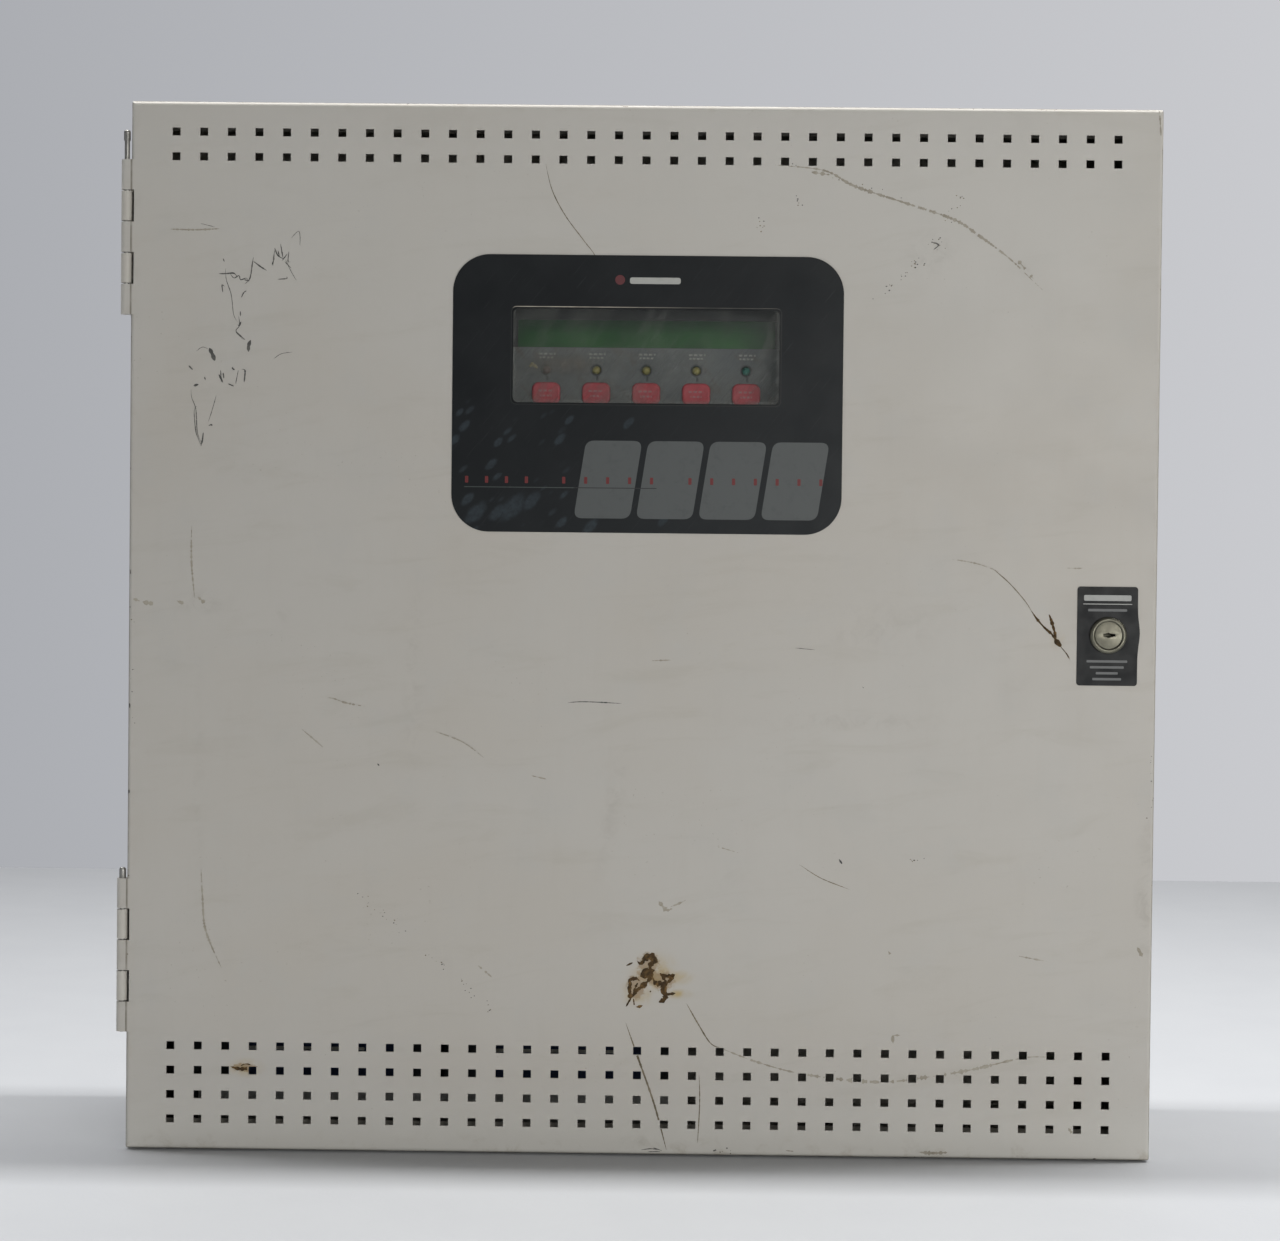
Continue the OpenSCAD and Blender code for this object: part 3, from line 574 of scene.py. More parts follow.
def chips(s, edge):
    """Paint knocked off along edges: bare dark metal with a rusty rim. edge is 1 at an edge."""
    lost = s.add(s.noise(6, 5, 0.65), s.mul(edge, 0.19))
    bare = s.band(lost, 0.84, 0.86)
    s.layer(s.band(lost, 0.80, 0.86), 0.5, tone(134, 110, 80))
    s.layer(bare, 1.0, tone(66, 56, 48))
    return bare


# Blobs on the door: x, z, two radii, turn in degrees, strength
STAINS = [(10, -204, 19, 18, 20, 1), (22, -205, 15, 6, 0, 1), (24, -215, 11, 4, 0, 1),
          (0, -214, 14, 11, 0, 1), (-233, -262, 14, 7, 0, 1), (246, -2, 6, 8, 0, 0.6)]
RUSTY = [(6, -197, 10, 9, 0, 1), (-1, -211, 8, 11, 0, 1), (14, -207, 11, 9, 0, 1),
         (6, -204, 10, 7, 0, 1), (-234, -262, 10, 4, 0, 1)]
SMUDGES = [(-262, 15, 26, 10, 0, 0.8), (168, 226, 26, 20, 40, 0.6), (-135, -30, 10, 90, 0, 0.45),
           (140, 5, 60, 22, 0, 0.4), (-16, -105, 9, 60, -12, 0.5), (-2, -303, 14, 5, 0, 1),
           (-262, -90, 6, 100, 0, 0.3), (224, 216, 9, 4, -48, 1), (300, -150, 9, 70, 0, 0.8),
           (176, -307, 24, 4, 0, 0.9), (-212, 8, 7, 7, 0, 0.6), (120, -52, 90, 9, 0, 0.5)]


def door_paint():
    s = steel_paint("door_paint_worn", (0.525, 0.505, 0.465))
    from_edge = s.least(s.sub(DOOR_HIGH.x, s.away(s.x)), s.sub(DOOR_HIGH.z, s.away(s.z)))
    on_door = s.band(from_edge, -0.6, -0.2)
    face = s.fade(s.y, FACE_Y + 0.3, FACE_Y + 0.6)
    # painted light: paler along the top and above the lower edge, where the lighting leaves the door darker
    painted_light = s.band(s.z, DOOR_LOW.z, DOOR_LOW.z + 50, 0.9, 0.0)
    s.layer(s.most(s.mul(s.band(s.z, 60, 300), 0.4), painted_light), 1.0, (0.62, 0.605, 0.56))
    # brownish grime gathers along the lower edge and at the sides
    low = s.band(s.z, DOOR_LOW.z, DOOR_LOW.z + 16, 0.9, 0.0)
    near = s.band(from_edge, 0, 8, 0.35, 0.0)
    grime = s.mul(s.most(low, near), s.patches((14, 5, 0.65, 0.4), 0.5, 0.75))
    s.layer(grime, 0.4, tone(150, 137, 112))
    # painted shade: a darker line along the door's rounded front edge, broken up by a noise
    rim = s.mul(s.fade(from_edge, 0.1, 1.2), on_door, s.fade(s.y, FACE_Y + 1.5, FACE_Y + 4))
    s.layer(s.mul(rim, s.patches((9, 3), 0.2, 0.6, 0.5, 1.0)), 0.8, tone(112, 104, 90))
    # yellow stains of rust water, then brown crust between the rust streaks
    stains = s.mul(s.blobs(*STAINS), face, s.patches((8, 3, 0.5, 0.6), 0.2, 0.75))
    s.layer(stains, 0.9, tone(178, 156, 104))
    rusty = s.blobs(*RUSTY)
    crust = s.band(s.add(s.noise(3, 4, 0.65), s.mul(rusty, 0.6)), 0.56, 0.8)
    brown = s.mix(s.noise(2.4, 3), tone(112, 84, 50), tone(166, 138, 90))
    s.layer(s.mul(crust, face, s.band(rusty, 0.02, 0.25)), 0.62, brown)
    # broad grey hand smudges
    smudges = s.mul(s.blobs(*SMUDGES), face, s.patches((11, 4, 0.7, 0.8), 0.4, 0.75))
    s.layer(smudges, 0.34, tone(128, 122, 112))
    bare = chips(s, s.mul(s.fade(from_edge, 0.2, 3.0), on_door))
    # painted shade: the cut edge of the window and the sheet just inside its outline are made near black
    cut = s.mul(s.inside(s.x, LENS_CENTRE[0], LENS_WIDTH / 2 - 0.6, 0.2),
                s.inside(s.z, LENS_CENTRE[1], LENS_HEIGHT / 2 - 0.6, 0.2))
    s.layer(cut, 1.0, (0.012, 0.012, 0.013))
    dull = s.add(s.noise(45, 4, 0.6), s.mul(grime, 0.3))
    s.bump(s.noise(1.3, 2, 0.45), 0.02, 0.7)
    s.bump(s.noise(120, 2, 0.5), 0.25, 0.5)
    s.bump(s.mul(bare, -1.0), 0.06)
    return s.done(Roughness=s.band(dull, 0.3, 0.9, 0.4, 0.56))


def cabinet_paint():
    s = steel_paint("cabinet_paint_worn", (0.56, 0.54, 0.49))
    low, high = box_mm("back_box")
    from_side = s.sub(high.x, s.away(s.x))
    from_end = s.sub(high.z, s.away(s.z))
    from_face = s.least(s.away(s.y), s.away(s.y, low.y))
    nearest = s.least(s.most(from_side, from_end), s.most(s.least(from_side, from_end), from_face))
    dust = s.mul(s.fade(s.z, low.z, low.z + 40), s.patches((24, 4), 0.35, 0.7))
    s.layer(dust, 0.35, tone(138, 130, 116))
    bare = chips(s, s.mul(s.fade(nearest, 0.2, 3.5), 0.8))
    s.bump(s.noise(1.3, 2, 0.45), 0.02, 0.7)
    s.bump(s.mul(bare, -1.0), 0.06)
    return s.done(Roughness=s.patches((45, 4, 0.6), 0.3, 0.8, 0.42, 0.58))


def metal(name, colour, rough, stained=0.4, brushed=(1, 1, 12)):
    """Plated or bare metal: brush lines, dull patches and a little tarnish."""
    s = Shader(name, Metallic=1.0)
    patches = s.noise(9, 5, 0.62, 0.4)
    s.colour = colour
    s.layer(s.band(patches, 0.42, 0.75), stained, shaded(colour, 0.62))
    s.layer(s.patches((1.4, 3, 0.6), 0.68, 0.78), stained, shaded(colour, 0.45, 0.36, 0.26))
    lines = s.noise(0.35, 2, 0.6, place=s.stretched(brushed))
    s.bump(lines, 0.012, 0.6)
    s.bump(patches, 0.05, 0.3)
    dull = s.add(s.mul(lines, 0.4), patches)
    return s.done(Roughness=s.band(dull, 0.4, 1.1, rough, rough + 0.28))


def plastic(name, colour, rough=0.42, grain=0.5, worn=0.3, **more):
    """Moulded plastic: fine spark-eroded grain, faint shade changes and a dusty film."""
    s = Shader(name, **more)
    s.cloudy((14, 4, 0.6), colour, shaded(colour, 0.8))
    s.layer(s.patches((5, 5, 0.7, 0.5), 0.52, 0.8), worn * 0.5, tone(150, 146, 138))
    s.bump(s.noise(grain, 2, 0.5), 0.02, 0.6)
    return s.done(Roughness=s.patches((6, 4, 0.6), 0.3, 0.8, rough - 0.06, rough + 0.12))


def film_material(name, *stops, size=4, rough=0.6):
    """Dirt or rust: a colour that changes with a noise, dull and a little raised."""
    s = Shader(name, Roughness=rough, Specular_IOR_Level=0.3)
    s.colour = s.ramp(s.noise(size, 4, 0.6, 0.5), *stops)
    s.bump(s.noise(0.6, 3, 0.6), 0.05)
    return s.done()


def flat_ink(name, colour, worn=0.25):
    """Printed ink, thin in places."""
    s = Shader(name, Roughness=0.5)
    s.colour = colour
    s.layer(s.patches((7, 5, 0.65, 0.4), 0.5, 0.8), worn, (0.02, 0.022, 0.024))
    s.bump(s.noise(0.5, 2), 0.01, 0.5)
    return s.done()


# ------------------------------------------------------------------ marks on the door

# Each mark: its width at the middle, then x and z of the points along it
RUST = [
    (0.9, -7, -198.5, -5, -197.5, -3, -196.5), (2.2, -0.5, -195.5, 1, -197, 3, -196, 4.5, -192, 8, -192.5),
    (3.0, 2, -196.5, 5, -194, 8, -192, 10, -194.5, 7.5, -198, 6.5, -201),
    (2.5, 6.5, -199, 8, -202.5, 7, -206, 5, -208.5, 1.5, -211.5, -1, -213.5, -3.5, -217.5),
    (1.1, -3.5, -217, -5, -219.5, -7, -223), (2.4, 6, -199.5, 2.5, -203, 3.5, -204.5, 7, -204.5),
    (2.0, -3.5, -217, -5, -213, -4.5, -209, -5, -207, -1, -206, 1, -207.5),
    (1.2, -2.5, -215, -1.5, -211.5, 0, -208.5),
    (2.3, 8.5, -205, 10.5, -208.5, 14, -209.5, 16.5, -208, 14.5, -204.5, 13, -202.5),
    (2.2, 13.5, -203, 17.5, -204.5, 21, -204, 18.5, -207.5, 15.5, -209),
    (3.2, 4, -195.2, 7, -193.8, 10, -195.4), (3.8, 7.8, -195.5, 7.2, -200, 7.6, -204.4),
    (3.0, 3.4, -203.6, 6.8, -203.4), (2.4, -4.8, -213.5, -4.2, -218.5),
    (3.2, 11.8, -207.4, 15.5, -209.4, 17.8, -208.6), (3.2, 15.4, -209.6, 16.3, -213.6, 16, -217.4),
    (3.2, 13, -208.5, 15, -211, 15.5, -214, 16.5, -216, 15.5, -218.5, 12.5, -220),
    (1.4, 16.5, -215.5, 19.5, -215, 22.5, -214.5), (0.9, -2.5, -218, -2, -222),
    (1.2, -1, -223, 1, -222.8, 3, -222), (1.2, 7, -213.5, 8, -213.8),
    (1.3, 230.5, 15, 234, 10, 238.5, 5, 243, 1, 246, -3.5, 248, -5.5),
    (1.5, 241, 13, 242.5, 9, 244, 4, 245, 0.5, 245.5, -2), (2.6, 244.5, -1.5, 246.5, -4, 248.5, -6),
    (0.6, 248, -6, 251.5, -10, 253.5, -13.5),
    (1.7, -242, -261.5, -237, -262.8, -231.4, -262.4, -226, -261.2),
    (0.8, -236, -261, -233, -259.8, -230, -260.4),
]
BROWN = [
    (0.8, 29, -220.5, 36, -232.5, 43.5, -244, 50, -247), (0.55, 207, 40, 217, 31.5, 226.5, 21, 231, 14),
    (1.1, -7, -232.5, 1, -254.5, 10.5, -281, 18, -308),
    (0.5, -59.5, 276, -55.5, 260.5, -47.5, 245.5, -36.5, 231, -29.5, 221.5, -28.5, 212),
    (0.55, 37, -263, 37.5, -280, 36.5, -304), (0.45, 95, -137, 108, -145, 125, -151.5),
]
PALE = [
    (1.5, 46, -245.5, 71.5, -255, 100, -262, 142, -266, 170.5, -263, 198.5, -258, 229.5, -250.5, 246, -250),
    (1.2, 76, 276.5, 105, 273.5, 123, 264.5, 152.5, 255, 181.5, 245.5, 196, 236.5, 214.5, 223, 229,
     209.5, 234.5, 204.5), (2.4, 220, 221.5, 229, 211), (1.6, 97.5, 272.5, 108.5, 271),
    (0.8, 302, 310, 303, 295.5), (1.6, 12, -160, 16.5, -165, 20, -164),
    (1.0, 19, -163, 23, -161.5, 28, -159), (0.6, 183.5, 45, 198, 42.5, 211, 38),
    (2.2, -302, 16.5, -295.5, 14.5, -289, 13.5), (2.0, -276, 15.5, -272, 14),
    (2.0, -263.5, 18, -259.5, 14.5), (0.8, -267.5, 60, -267.5, 39, -265.5, 17.5),
    (0.9, -260.5, -144, -259.5, -161, -257.5, -180.5, -248, -202.5),
    (0.7, -187, -41, -182.5, -41.5, -175, -44, -163.5, -46), (0.6, -201, -60, -188.5, -70.5),
    (0.6, -121.5, -60.5, -105.5, -66.5, -93, -75.5), (0.6, 6.5, -17, 17.5, -16.5),
    (0.6, -64.5, -86, -55.5, -88), (0.7, 46.5, -127, 59, -130.5), (1.2, 148.5, -188, 150, -190.5),
    (1.1, 152, -243, 152, -238.5, 156, -238), (0.8, 226, -190, 242.5, -193), (1.4, 296, -184, 299, -189.5),
    (1.8, 168, -307.5, 176, -308, 185, -307.5), (1.4, 89, -307.5, 93.5, -308),
    (1.4, 256.5, -292, 259.5, -296), (1.0, -95, -199.5, -86.5, -206.5),
    (0.9, -281.5, 235.5, -267, 235.2, -252.5, 236), (0.6, 251, 40.5, 256, 40.3, 260.5, 40.5),
]
INK = [
    (0.6, -43.5, -42.5, -36, -41.8, -24, -42, -11.5, -42.6), (0.5, 3, -308.3, 8.5, -307.5, 13, -308),
    (0.4, 7, -309.3, 14.5, -309), (0.4, 10, -306.8, 15.5, -308.6), (1.0, 118.5, -133.5, 120.5, -136.5),
    (0.35, 91, -8.5, 103, -9.5), (1.3, -156, -79.8, -154.9, -81.2), (0.9, 131.2, -31, 132, -32),
    (0.6, -304, 34, -303.6, 31), (1.1, -303.8, 12, -303.8, 7.5), (0.9, -303.8, -45.5, -303.8, -48.5),
    (0.7, -303.8, -97, -303.8, -99.5), (0.7, 168.5, 232, 173, 230.5, 170, 227.5),
    (0.45, -219.5, 223.5, -220.5, 214.5), (0.5, -217.5, 223.5, -216.5, 219.5),
    (0.5, -215, 217.5, -212, 221.5), (0.5, -213.5, 217, -209.5, 213),
    (0.6, -246, 210, -243.5, 207, -240.5, 208.5, -239.5, 206, -236, 207, -234.5, 204.5),
    (0.5, -240.5, 184.5, -240, 179, -242, 175.5, -237.5, 170.5), (0.7, -244.5, 154, -242.5, 152.5),
    (0.4, -240.5, 152.5, -242, 144.5),
    (0.4, -268.5, 141, -268, 136, -265.5, 129, -264.5, 115.5, -261.5, 108.5),
    (0.6, -258, 119.5, -255.5, 120.5), (0.6, -251, 152.5, -250.5, 145.5),
    (0.7, -252.5, 209.5, -248.5, 209.5, -243.5, 209.8, -241.5, 207.5), (0.8, -250, 218.5, -249.2, 216.5),
    (0.35, -248.5, 212.5, -248, 206, -245, 197, -243.5, 185.5, -241, 181),
    (0.7, -250, 198.5, -250.5, 202.8, -249, 202),
    (0.55, -232, 219.5, -232.5, 216.5, -233.5, 209, -234.5, 206, -237, 203.5),
    (0.7, -232, 217, -228, 214, -224, 211.5), (0.7, -237.5, 206, -234, 205.5),
    (0.6, -236, 199.5, -237.5, 198.5, -239, 195.5), (0.6, -239.5, 187.5, -239.5, 184.5),
    (0.7, -239, 181.5, -240, 179, -241, 179.5), (0.6, -242, 175.5, -240, 173.5, -236.5, 170.5),
    (2.0, -233.3, 170.5, -234.5, 167, -234.5, 163.5), (2.4, -257.8, 165.5, -255.8, 161.5, -254.5, 158),
    (0.9, -270, 155, -267.5, 152.5), (0.3, -265.5, 163.5, -262, 166, -258.5, 165),
    (0.8, -260.5, 148.5, -260, 146.5), (1.2, -267, 143, -264, 144), (0.9, -252, 150, -249.5, 145),
    (0.8, -249.5, 151, -249, 147.5), (0.7, -244, 154.5, -243.5, 152.5),
    (0.8, -238.5, 153, -236.5, 152.5, -237, 145.5), (0.7, -246.5, 144.5, -243, 143),
    (0.35, -265, 131, -266.5, 128, -265.5, 116.5, -264, 112, -262, 107.5),
    (0.8, -261, 115.5, -261.5, 111, -262.5, 107.5), (0.8, -257, 120.5, -255.5, 119.5),
    (0.3, -253.5, 137.5, -255.5, 130, -258, 122), (0.35, -219.5, 159.5, -215, 162.5, -208.5, 163.5),
    (0.6, -219.5, 225, -217.5, 220.5, -214, 218.5), (0.6, -216, 227.5, -214.5, 219),
    (0.6, -211, 223, -211.5, 217, -210, 217), (0.6, -221, 215, -219.5, 219),
    (0.7, -217.5, 206.5, -212, 207, -212.5, 208),
    (0.3, -209.5, 231, -205.5, 235, -204.5, 232, -204.5, 226.5),
    (0.35, -213, 218, -209.5, 211, -206.5, 206), (0.25, -263.5, 239, -255, 237),
]
# Rows of small dirt specks: x and z of the start and of the end, how many
SPECKS = [
    (186, 259.5, 171, 229, 14), (170, 228, 133, 196, 26), (168, 232, 175, 229, 12), (67, 246, 69, 237, 8),
    (87, 260, 90.5, 254, 6), (-169, -156, -123.5, -193, 20), (-123.5, -193, -86.5, -226, 22),
    (81, 278, 168, 254, 9), (160, -132, 168, -134, 8), (-302, 5, -303, -60, 9), (40, -307, 60, -309, 7),
    (303, -60, 303, -120, 8),
]

# How far the thinnest film stands proud, and how deep all of them reach
FILM = 0.05


def door_surface():
    part = bmesh.new()
    part.from_mesh(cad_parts["door"].data)
    tree = BVHTree.FromBMesh(part)
    part.free()
    return tree


DOOR_SURFACE = door_surface()


def on_face(x, z):
    """True where the door's face is solid, so not over a vent hole."""
    start = Vector((x, FACE_Y - 5, z)) * MM
    return DOOR_SURFACE.ray_cast(start, Vector((0, 1, 0)), 6 * MM)[0] is not None


def ribbon(piece, points, width, film, skin, ragged):
    """A film of some thickness on the door's face along a smooth line, tapering at both ends.

    It breaks over the vent holes and wherever a ragged one gets very thin."""
    points = smooth_line(points)
    last = len(points) - 1
    runs = [[]]
    for k, (x, z) in enumerate(points):
        before, after = points[max(k - 1, 0)], points[min(k + 1, last)]
        along = Vector((after[0] - before[0], after[1] - before[1])).normalized()
        taper = max(0.12, min(1, 3.5 * k / last, 3.5 * (last - k) / last) ** 0.7)
        wobble = 1 + ragged * 2 * soft_noise((x * 0.9, z * 0.9, width))
        half = width / 2 * taper * max(0.2, wobble)
        left = (x - along.y * half, z + along.x * half)
        right = (x + along.y * half, z - along.x * half)
        if wobble > 0 and on_face(*left) and on_face(*right):
            runs[-1].append([(left[0], FACE_Y - film, left[1]), (right[0], FACE_Y - film, right[1]),
                             (right[0], FACE_Y + FILM, right[1]), (left[0], FACE_Y + FILM, left[1])])
        elif runs[-1]:
            runs.append([])
    for run in runs:
        if len(run) > 1:
            piece.loft(run, skin)


def speck(piece, x, z, size, skin):
    """A small flat spot with an irregular outline."""
    count = 7
    points = []
    for k in range(count):
        reach = size * random.uniform(0.55, 1.0)
        turn = math.tau * k / count
        points.append((x + reach * math.cos(turn), z + reach * 0.8 * math.sin(turn)))
    piece.loft([[(a, y, b) for a, b in points] for y in (FACE_Y - FILM, FACE_Y + FILM)], skin)


def door_marks():
    rust = film_material("rust", (0.36, tone(58, 46, 30)), (0.56, tone(86, 66, 39)),
                         (0.75, tone(138, 106, 62)), size=3.5, rough=0.85)
    brown = film_material("brown_scuff", (0.35, tone(98, 88, 68)), (0.65, tone(138, 128, 108)), size=12)
    pale = film_material("pale_scuff", (0.35, tone(150, 143, 129)), (0.6, tone(170, 164, 151)), size=6)
    ink = film_material("ink", (0.35, tone(66, 66, 66)), (0.7, tone(112, 110, 105)), size=5)
    piece = Piece()
    for skin, marks, ragged in ((0, RUST, 0.55), (1, BROWN, 0.3), (2, INK, 0.35), (3, PALE, 1.0)):
        for number, (width, *places) in enumerate(marks):
            # crossing films differ in thickness, so their faces don't coincide
            film = FILM + 0.01 * (number % 16)
            ribbon(piece, list(zip(places[::2], places[1::2])), width, film, skin, ragged)
    for start_x, start_z, end_x, end_z, count in SPECKS:
        for _ in range(count):
            share = random.random()
            x = start_x + (end_x - start_x) * share + random.gauss(0, 1.2)
            z = start_z + (end_z - start_z) * share + random.gauss(0, 1.2)
            size, skin = random.uniform(0.25, 0.7), random.choice((1, 2))
            if on_face(x, z):
                speck(piece, x, z, size, skin)
    piece.done("door_marks", "door", rust, brown, ink, pale)


# ------------------------------------------------------------------ front label and window

# Dried drops on the label: x, z and reach
DROPS = [
    (-99, 69.5, 13), (-86, 70, 10), (-77, 73, 16), (-66, 77, 11), (-104, 77.5, 8), (-90, 98.5, 7),
    (-86, 111.5, 6), (-49.5, 113.5, 7), (-44, 125, 6), (-9, 123.5, 7), (-106, 121, 7), (-112, 112.5, 7),
    (-48, 64.5, 7), (-31, 62, 9), (-109, 129, 5), (12, 66, 7),
]


def label_film():
    """Black printed film, paler to the right and bottom as a painted reflection, with dried bluish drops at
    its lower left.
    """
    s = Shader("label_film", Specular_IOR_Level=0.16)
    s.cloudy((60, 4, 0.6), (0.0115, 0.0136, 0.0154), (0.0155, 0.0178, 0.0196))
    # painted reflection: the film grows paler towards the right and bottom, where brighter surroundings
    # would reflect in it
    s.layer(s.band(s.sub(s.x, s.z), -220, 20), 1.0, (0.0178, 0.0205, 0.0225))
    slant = s.stretched((1.0, 1.0, 2.3), -48)
    small = s.mul(s.fade(s.cells(5, slant), 0.15, 0.4), s.band(s.cells(5, slant, "Color"), 0.5, 0.56))
    zone = s.band(s.blobs((-84, 68, 74, 56, 20, 1), (-80, 124, 60, 54, 0, 0.5)), 0.05, 0.5)
    large = s.blobs(*((x, z, reach, reach * 0.5, 46, 1) for x, z, reach in DROPS))
    large = s.band(s.add(large, s.mul(s.noise(4, 3, 0.6), 0.5)), 0.36, 0.95)
    drops = s.most(s.mul(small, zone), large)
    haze = s.patches((20, 4, 0.6), 0.48, 0.8, place=s.stretched((1, 1, 3), -45))
    s.layer(haze, 0.4, (0.019, 0.0215, 0.0235))
    s.layer(drops, s.patches((3, 4, 0.65), 0.3, 0.7, 0.4, 0.72), (0.043, 0.056, 0.066))
    strokes = s.patches((0.9, 2, 0.4), 0.68, 0.74, place=s.stretched((0.5, 1, 24), -38))
    s.layer(strokes, 0.3, (0.05, 0.054, 0.058))
    s.bump(s.noise(0.5, 2), 0.01, 0.6)
    return s.done(Roughness=s.band(s.add(s.noise(26, 4), s.mul(drops, 0.4)), 0.3, 1.0, 0.36, 0.6))


def label_print():
    """Plain bars and strokes where the label's printing was."""
    inks = [flat_ink("print_" + name, colour, worn) for name, colour, worn in (
        ("grey", tone(80, 84, 84), 0.3), ("red", tone(104, 26, 28), 0.35),
        ("white", tone(176, 177, 172), 0.15), ("line", tone(58, 66, 64), 0.2),
        ("dot", tone(96, 38, 42), 0.3), ("dark", (0.014, 0.015, 0.016), 0.2))]
    grey, red, white, line, dot, dark = range(len(inks))
    front, back = LABEL_LOW.y - 0.03, LABEL_LOW.y + 0.03
    raised = front - 0.02
    piece = Piece()
    low_z, high_z, lean, gap, corner = 67, 113, 7, 3.6, 5
    first_x, last_x, bars = -41, 103, 4
    width = (last_x - first_x + gap) / bars - gap
    for k in range(bars):
        start = first_x + k * (width + gap)
        end = start + width
        shape = [(start, low_z), (end, low_z), (end + lean, high_z), (start + lean, high_z)]
        piece.outline([round_corners(shape, corner)], front, back, skin=grey)
    for start, pitch, count in ((-104.5, 11.8, 4), (-47, 13, 5), (27.7, 12.9, 7)):
        for k in range(count):
            piece.plate((start + k * pitch, 89.4), 1.9, 4.0, 0.4, raised, back, 0, red, 2)
    piece.plate((-73.5, 85), 65, 0.5, 0.2, raised, back, 0, line, 2)
    piece.plate((-16.5, 85), 49, 0.5, 0.2, raised, back, 0, dark, 2)
    piece.outline([circle_loop((-14.8, 208), 2.9, 24)], front, back, skin=dot)
    piece.plate((6, 207.6), 30, 3.8, 1.3, front, back, 0, white)
    piece.done("label_print", "door", *inks)


def lens_plastic():
    """Clear smoked plastic, hazy with fine diagonal scratches and dusty along its edges."""
    s = Shader("smoked_plastic", Specular_IOR_Level=0.35)
    low = box_mm("lcd_glass")[0]
    strokes = s.patches((1.2, 3, 0.6), 0.5, 0.8, 0.0, 0.2, s.stretched((0.8, 1, 14), -40))
    haze = s.noise(13, 4, 0.65, 0.5, s.stretched((1, 1, 2.4), -36))
    cloud = s.add(strokes, s.band(haze, 0.42, 0.72, 0.0, 0.17))
    cloud = s.mul(cloud, s.band(s.z, low.z - 4, low.z + 3, 1.0, 0.45))
    from_edge = s.least(s.sub(s.x, LENS_LOW.x), s.sub(LENS_HIGH.x, s.x), s.sub(s.z, LENS_LOW.z))
    dust = s.mul(s.fade(from_edge, 1.0, 4.2), s.patches((7, 4, 0.6), 0.3, 0.65, 0.3, 1.0))
    smudge = s.mul(s.blobs((UNIT_X - 1.6 * KEY_PITCH, LED_Z + 1, 32, 9, 0, 1)),
                   s.patches((8, 4, 0.6), 0.3, 0.6, 0.5, 1.0))
    s.colour = s.mix(s.band(haze, 0.4, 0.7), (0.075, 0.082, 0.082), (0.13, 0.137, 0.128))
    s.layer(dust, 1.0, (0.16, 0.165, 0.155))
    s.layer(smudge, 1.0, (0.15, 0.14, 0.12))
    # a printed border with round corners hides the edge of the opening behind
    corner = 4.5
    over_x = s.most(s.sub(s.away(s.x, LENS_CENTRE[0]), LENS_WIDTH / 2 - corner), 0.0)
    over_z = s.most(s.sub(s.away(s.z, LENS_CENTRE[1]), LENS_HEIGHT / 2 - corner), 0.0)
    reach = s.math("SQRT", s.add(s.mul(over_x, over_x), s.mul(over_z, over_z)))
    border = s.band(s.sub(reach, corner), -1.5, -1.1)
    s.layer(border, 1.0, (0.017, 0.019, 0.02))
    film = s.add(cloud, 0.2, s.most(s.mul(dust, 0.2), s.mul(smudge, 0.34)))
    s.bump(s.noise(30, 2), 0.05, 0.4)
    return s.done(Roughness=0.14, Alpha=s.most(film, border))


def window_rim():
    """The cut edge of the film round the window: a painted highlight along the top's left part, dark
    elsewhere.
    """
    s = Shader("cut_edge", Roughness=0.4, Specular_IOR_Level=0.3)
    # painted highlight: the left part of the top edge is made pale, as if lit from above
    top = s.band(s.z, LENS_HIGH.z - 1.5, LENS_HIGH.z - 0.2)
    along = s.band(s.x, LENS_LOW.x + 0.2 * LENS_WIDTH, LENS_LOW.x + 0.75 * LENS_WIDTH, 1.0, 0.12)
    s.colour = (0.022, 0.024, 0.024)
    s.layer(s.mul(top, along), s.patches((9, 3), 0.3, 0.6, 0.5, 1.0), (0.55, 0.5, 0.42))
    s.bump(s.noise(0.8, 2), 0.02, 0.5)
    piece = Piece()
    piece.outline([rounded_loop(LENS_CENTRE, LENS_WIDTH + 0.1, LENS_HEIGHT + 0.1, 3.2),
                   rounded_loop(LENS_CENTRE, LENS_WIDTH - 0.8, LENS_HEIGHT - 0.8, 2.8)],
                  LABEL_LOW.y - FILM, LABEL_LOW.y + FILM)
    piece.done("window_rim", "door", s.done())


# ------------------------------------------------------------------ lock and its label


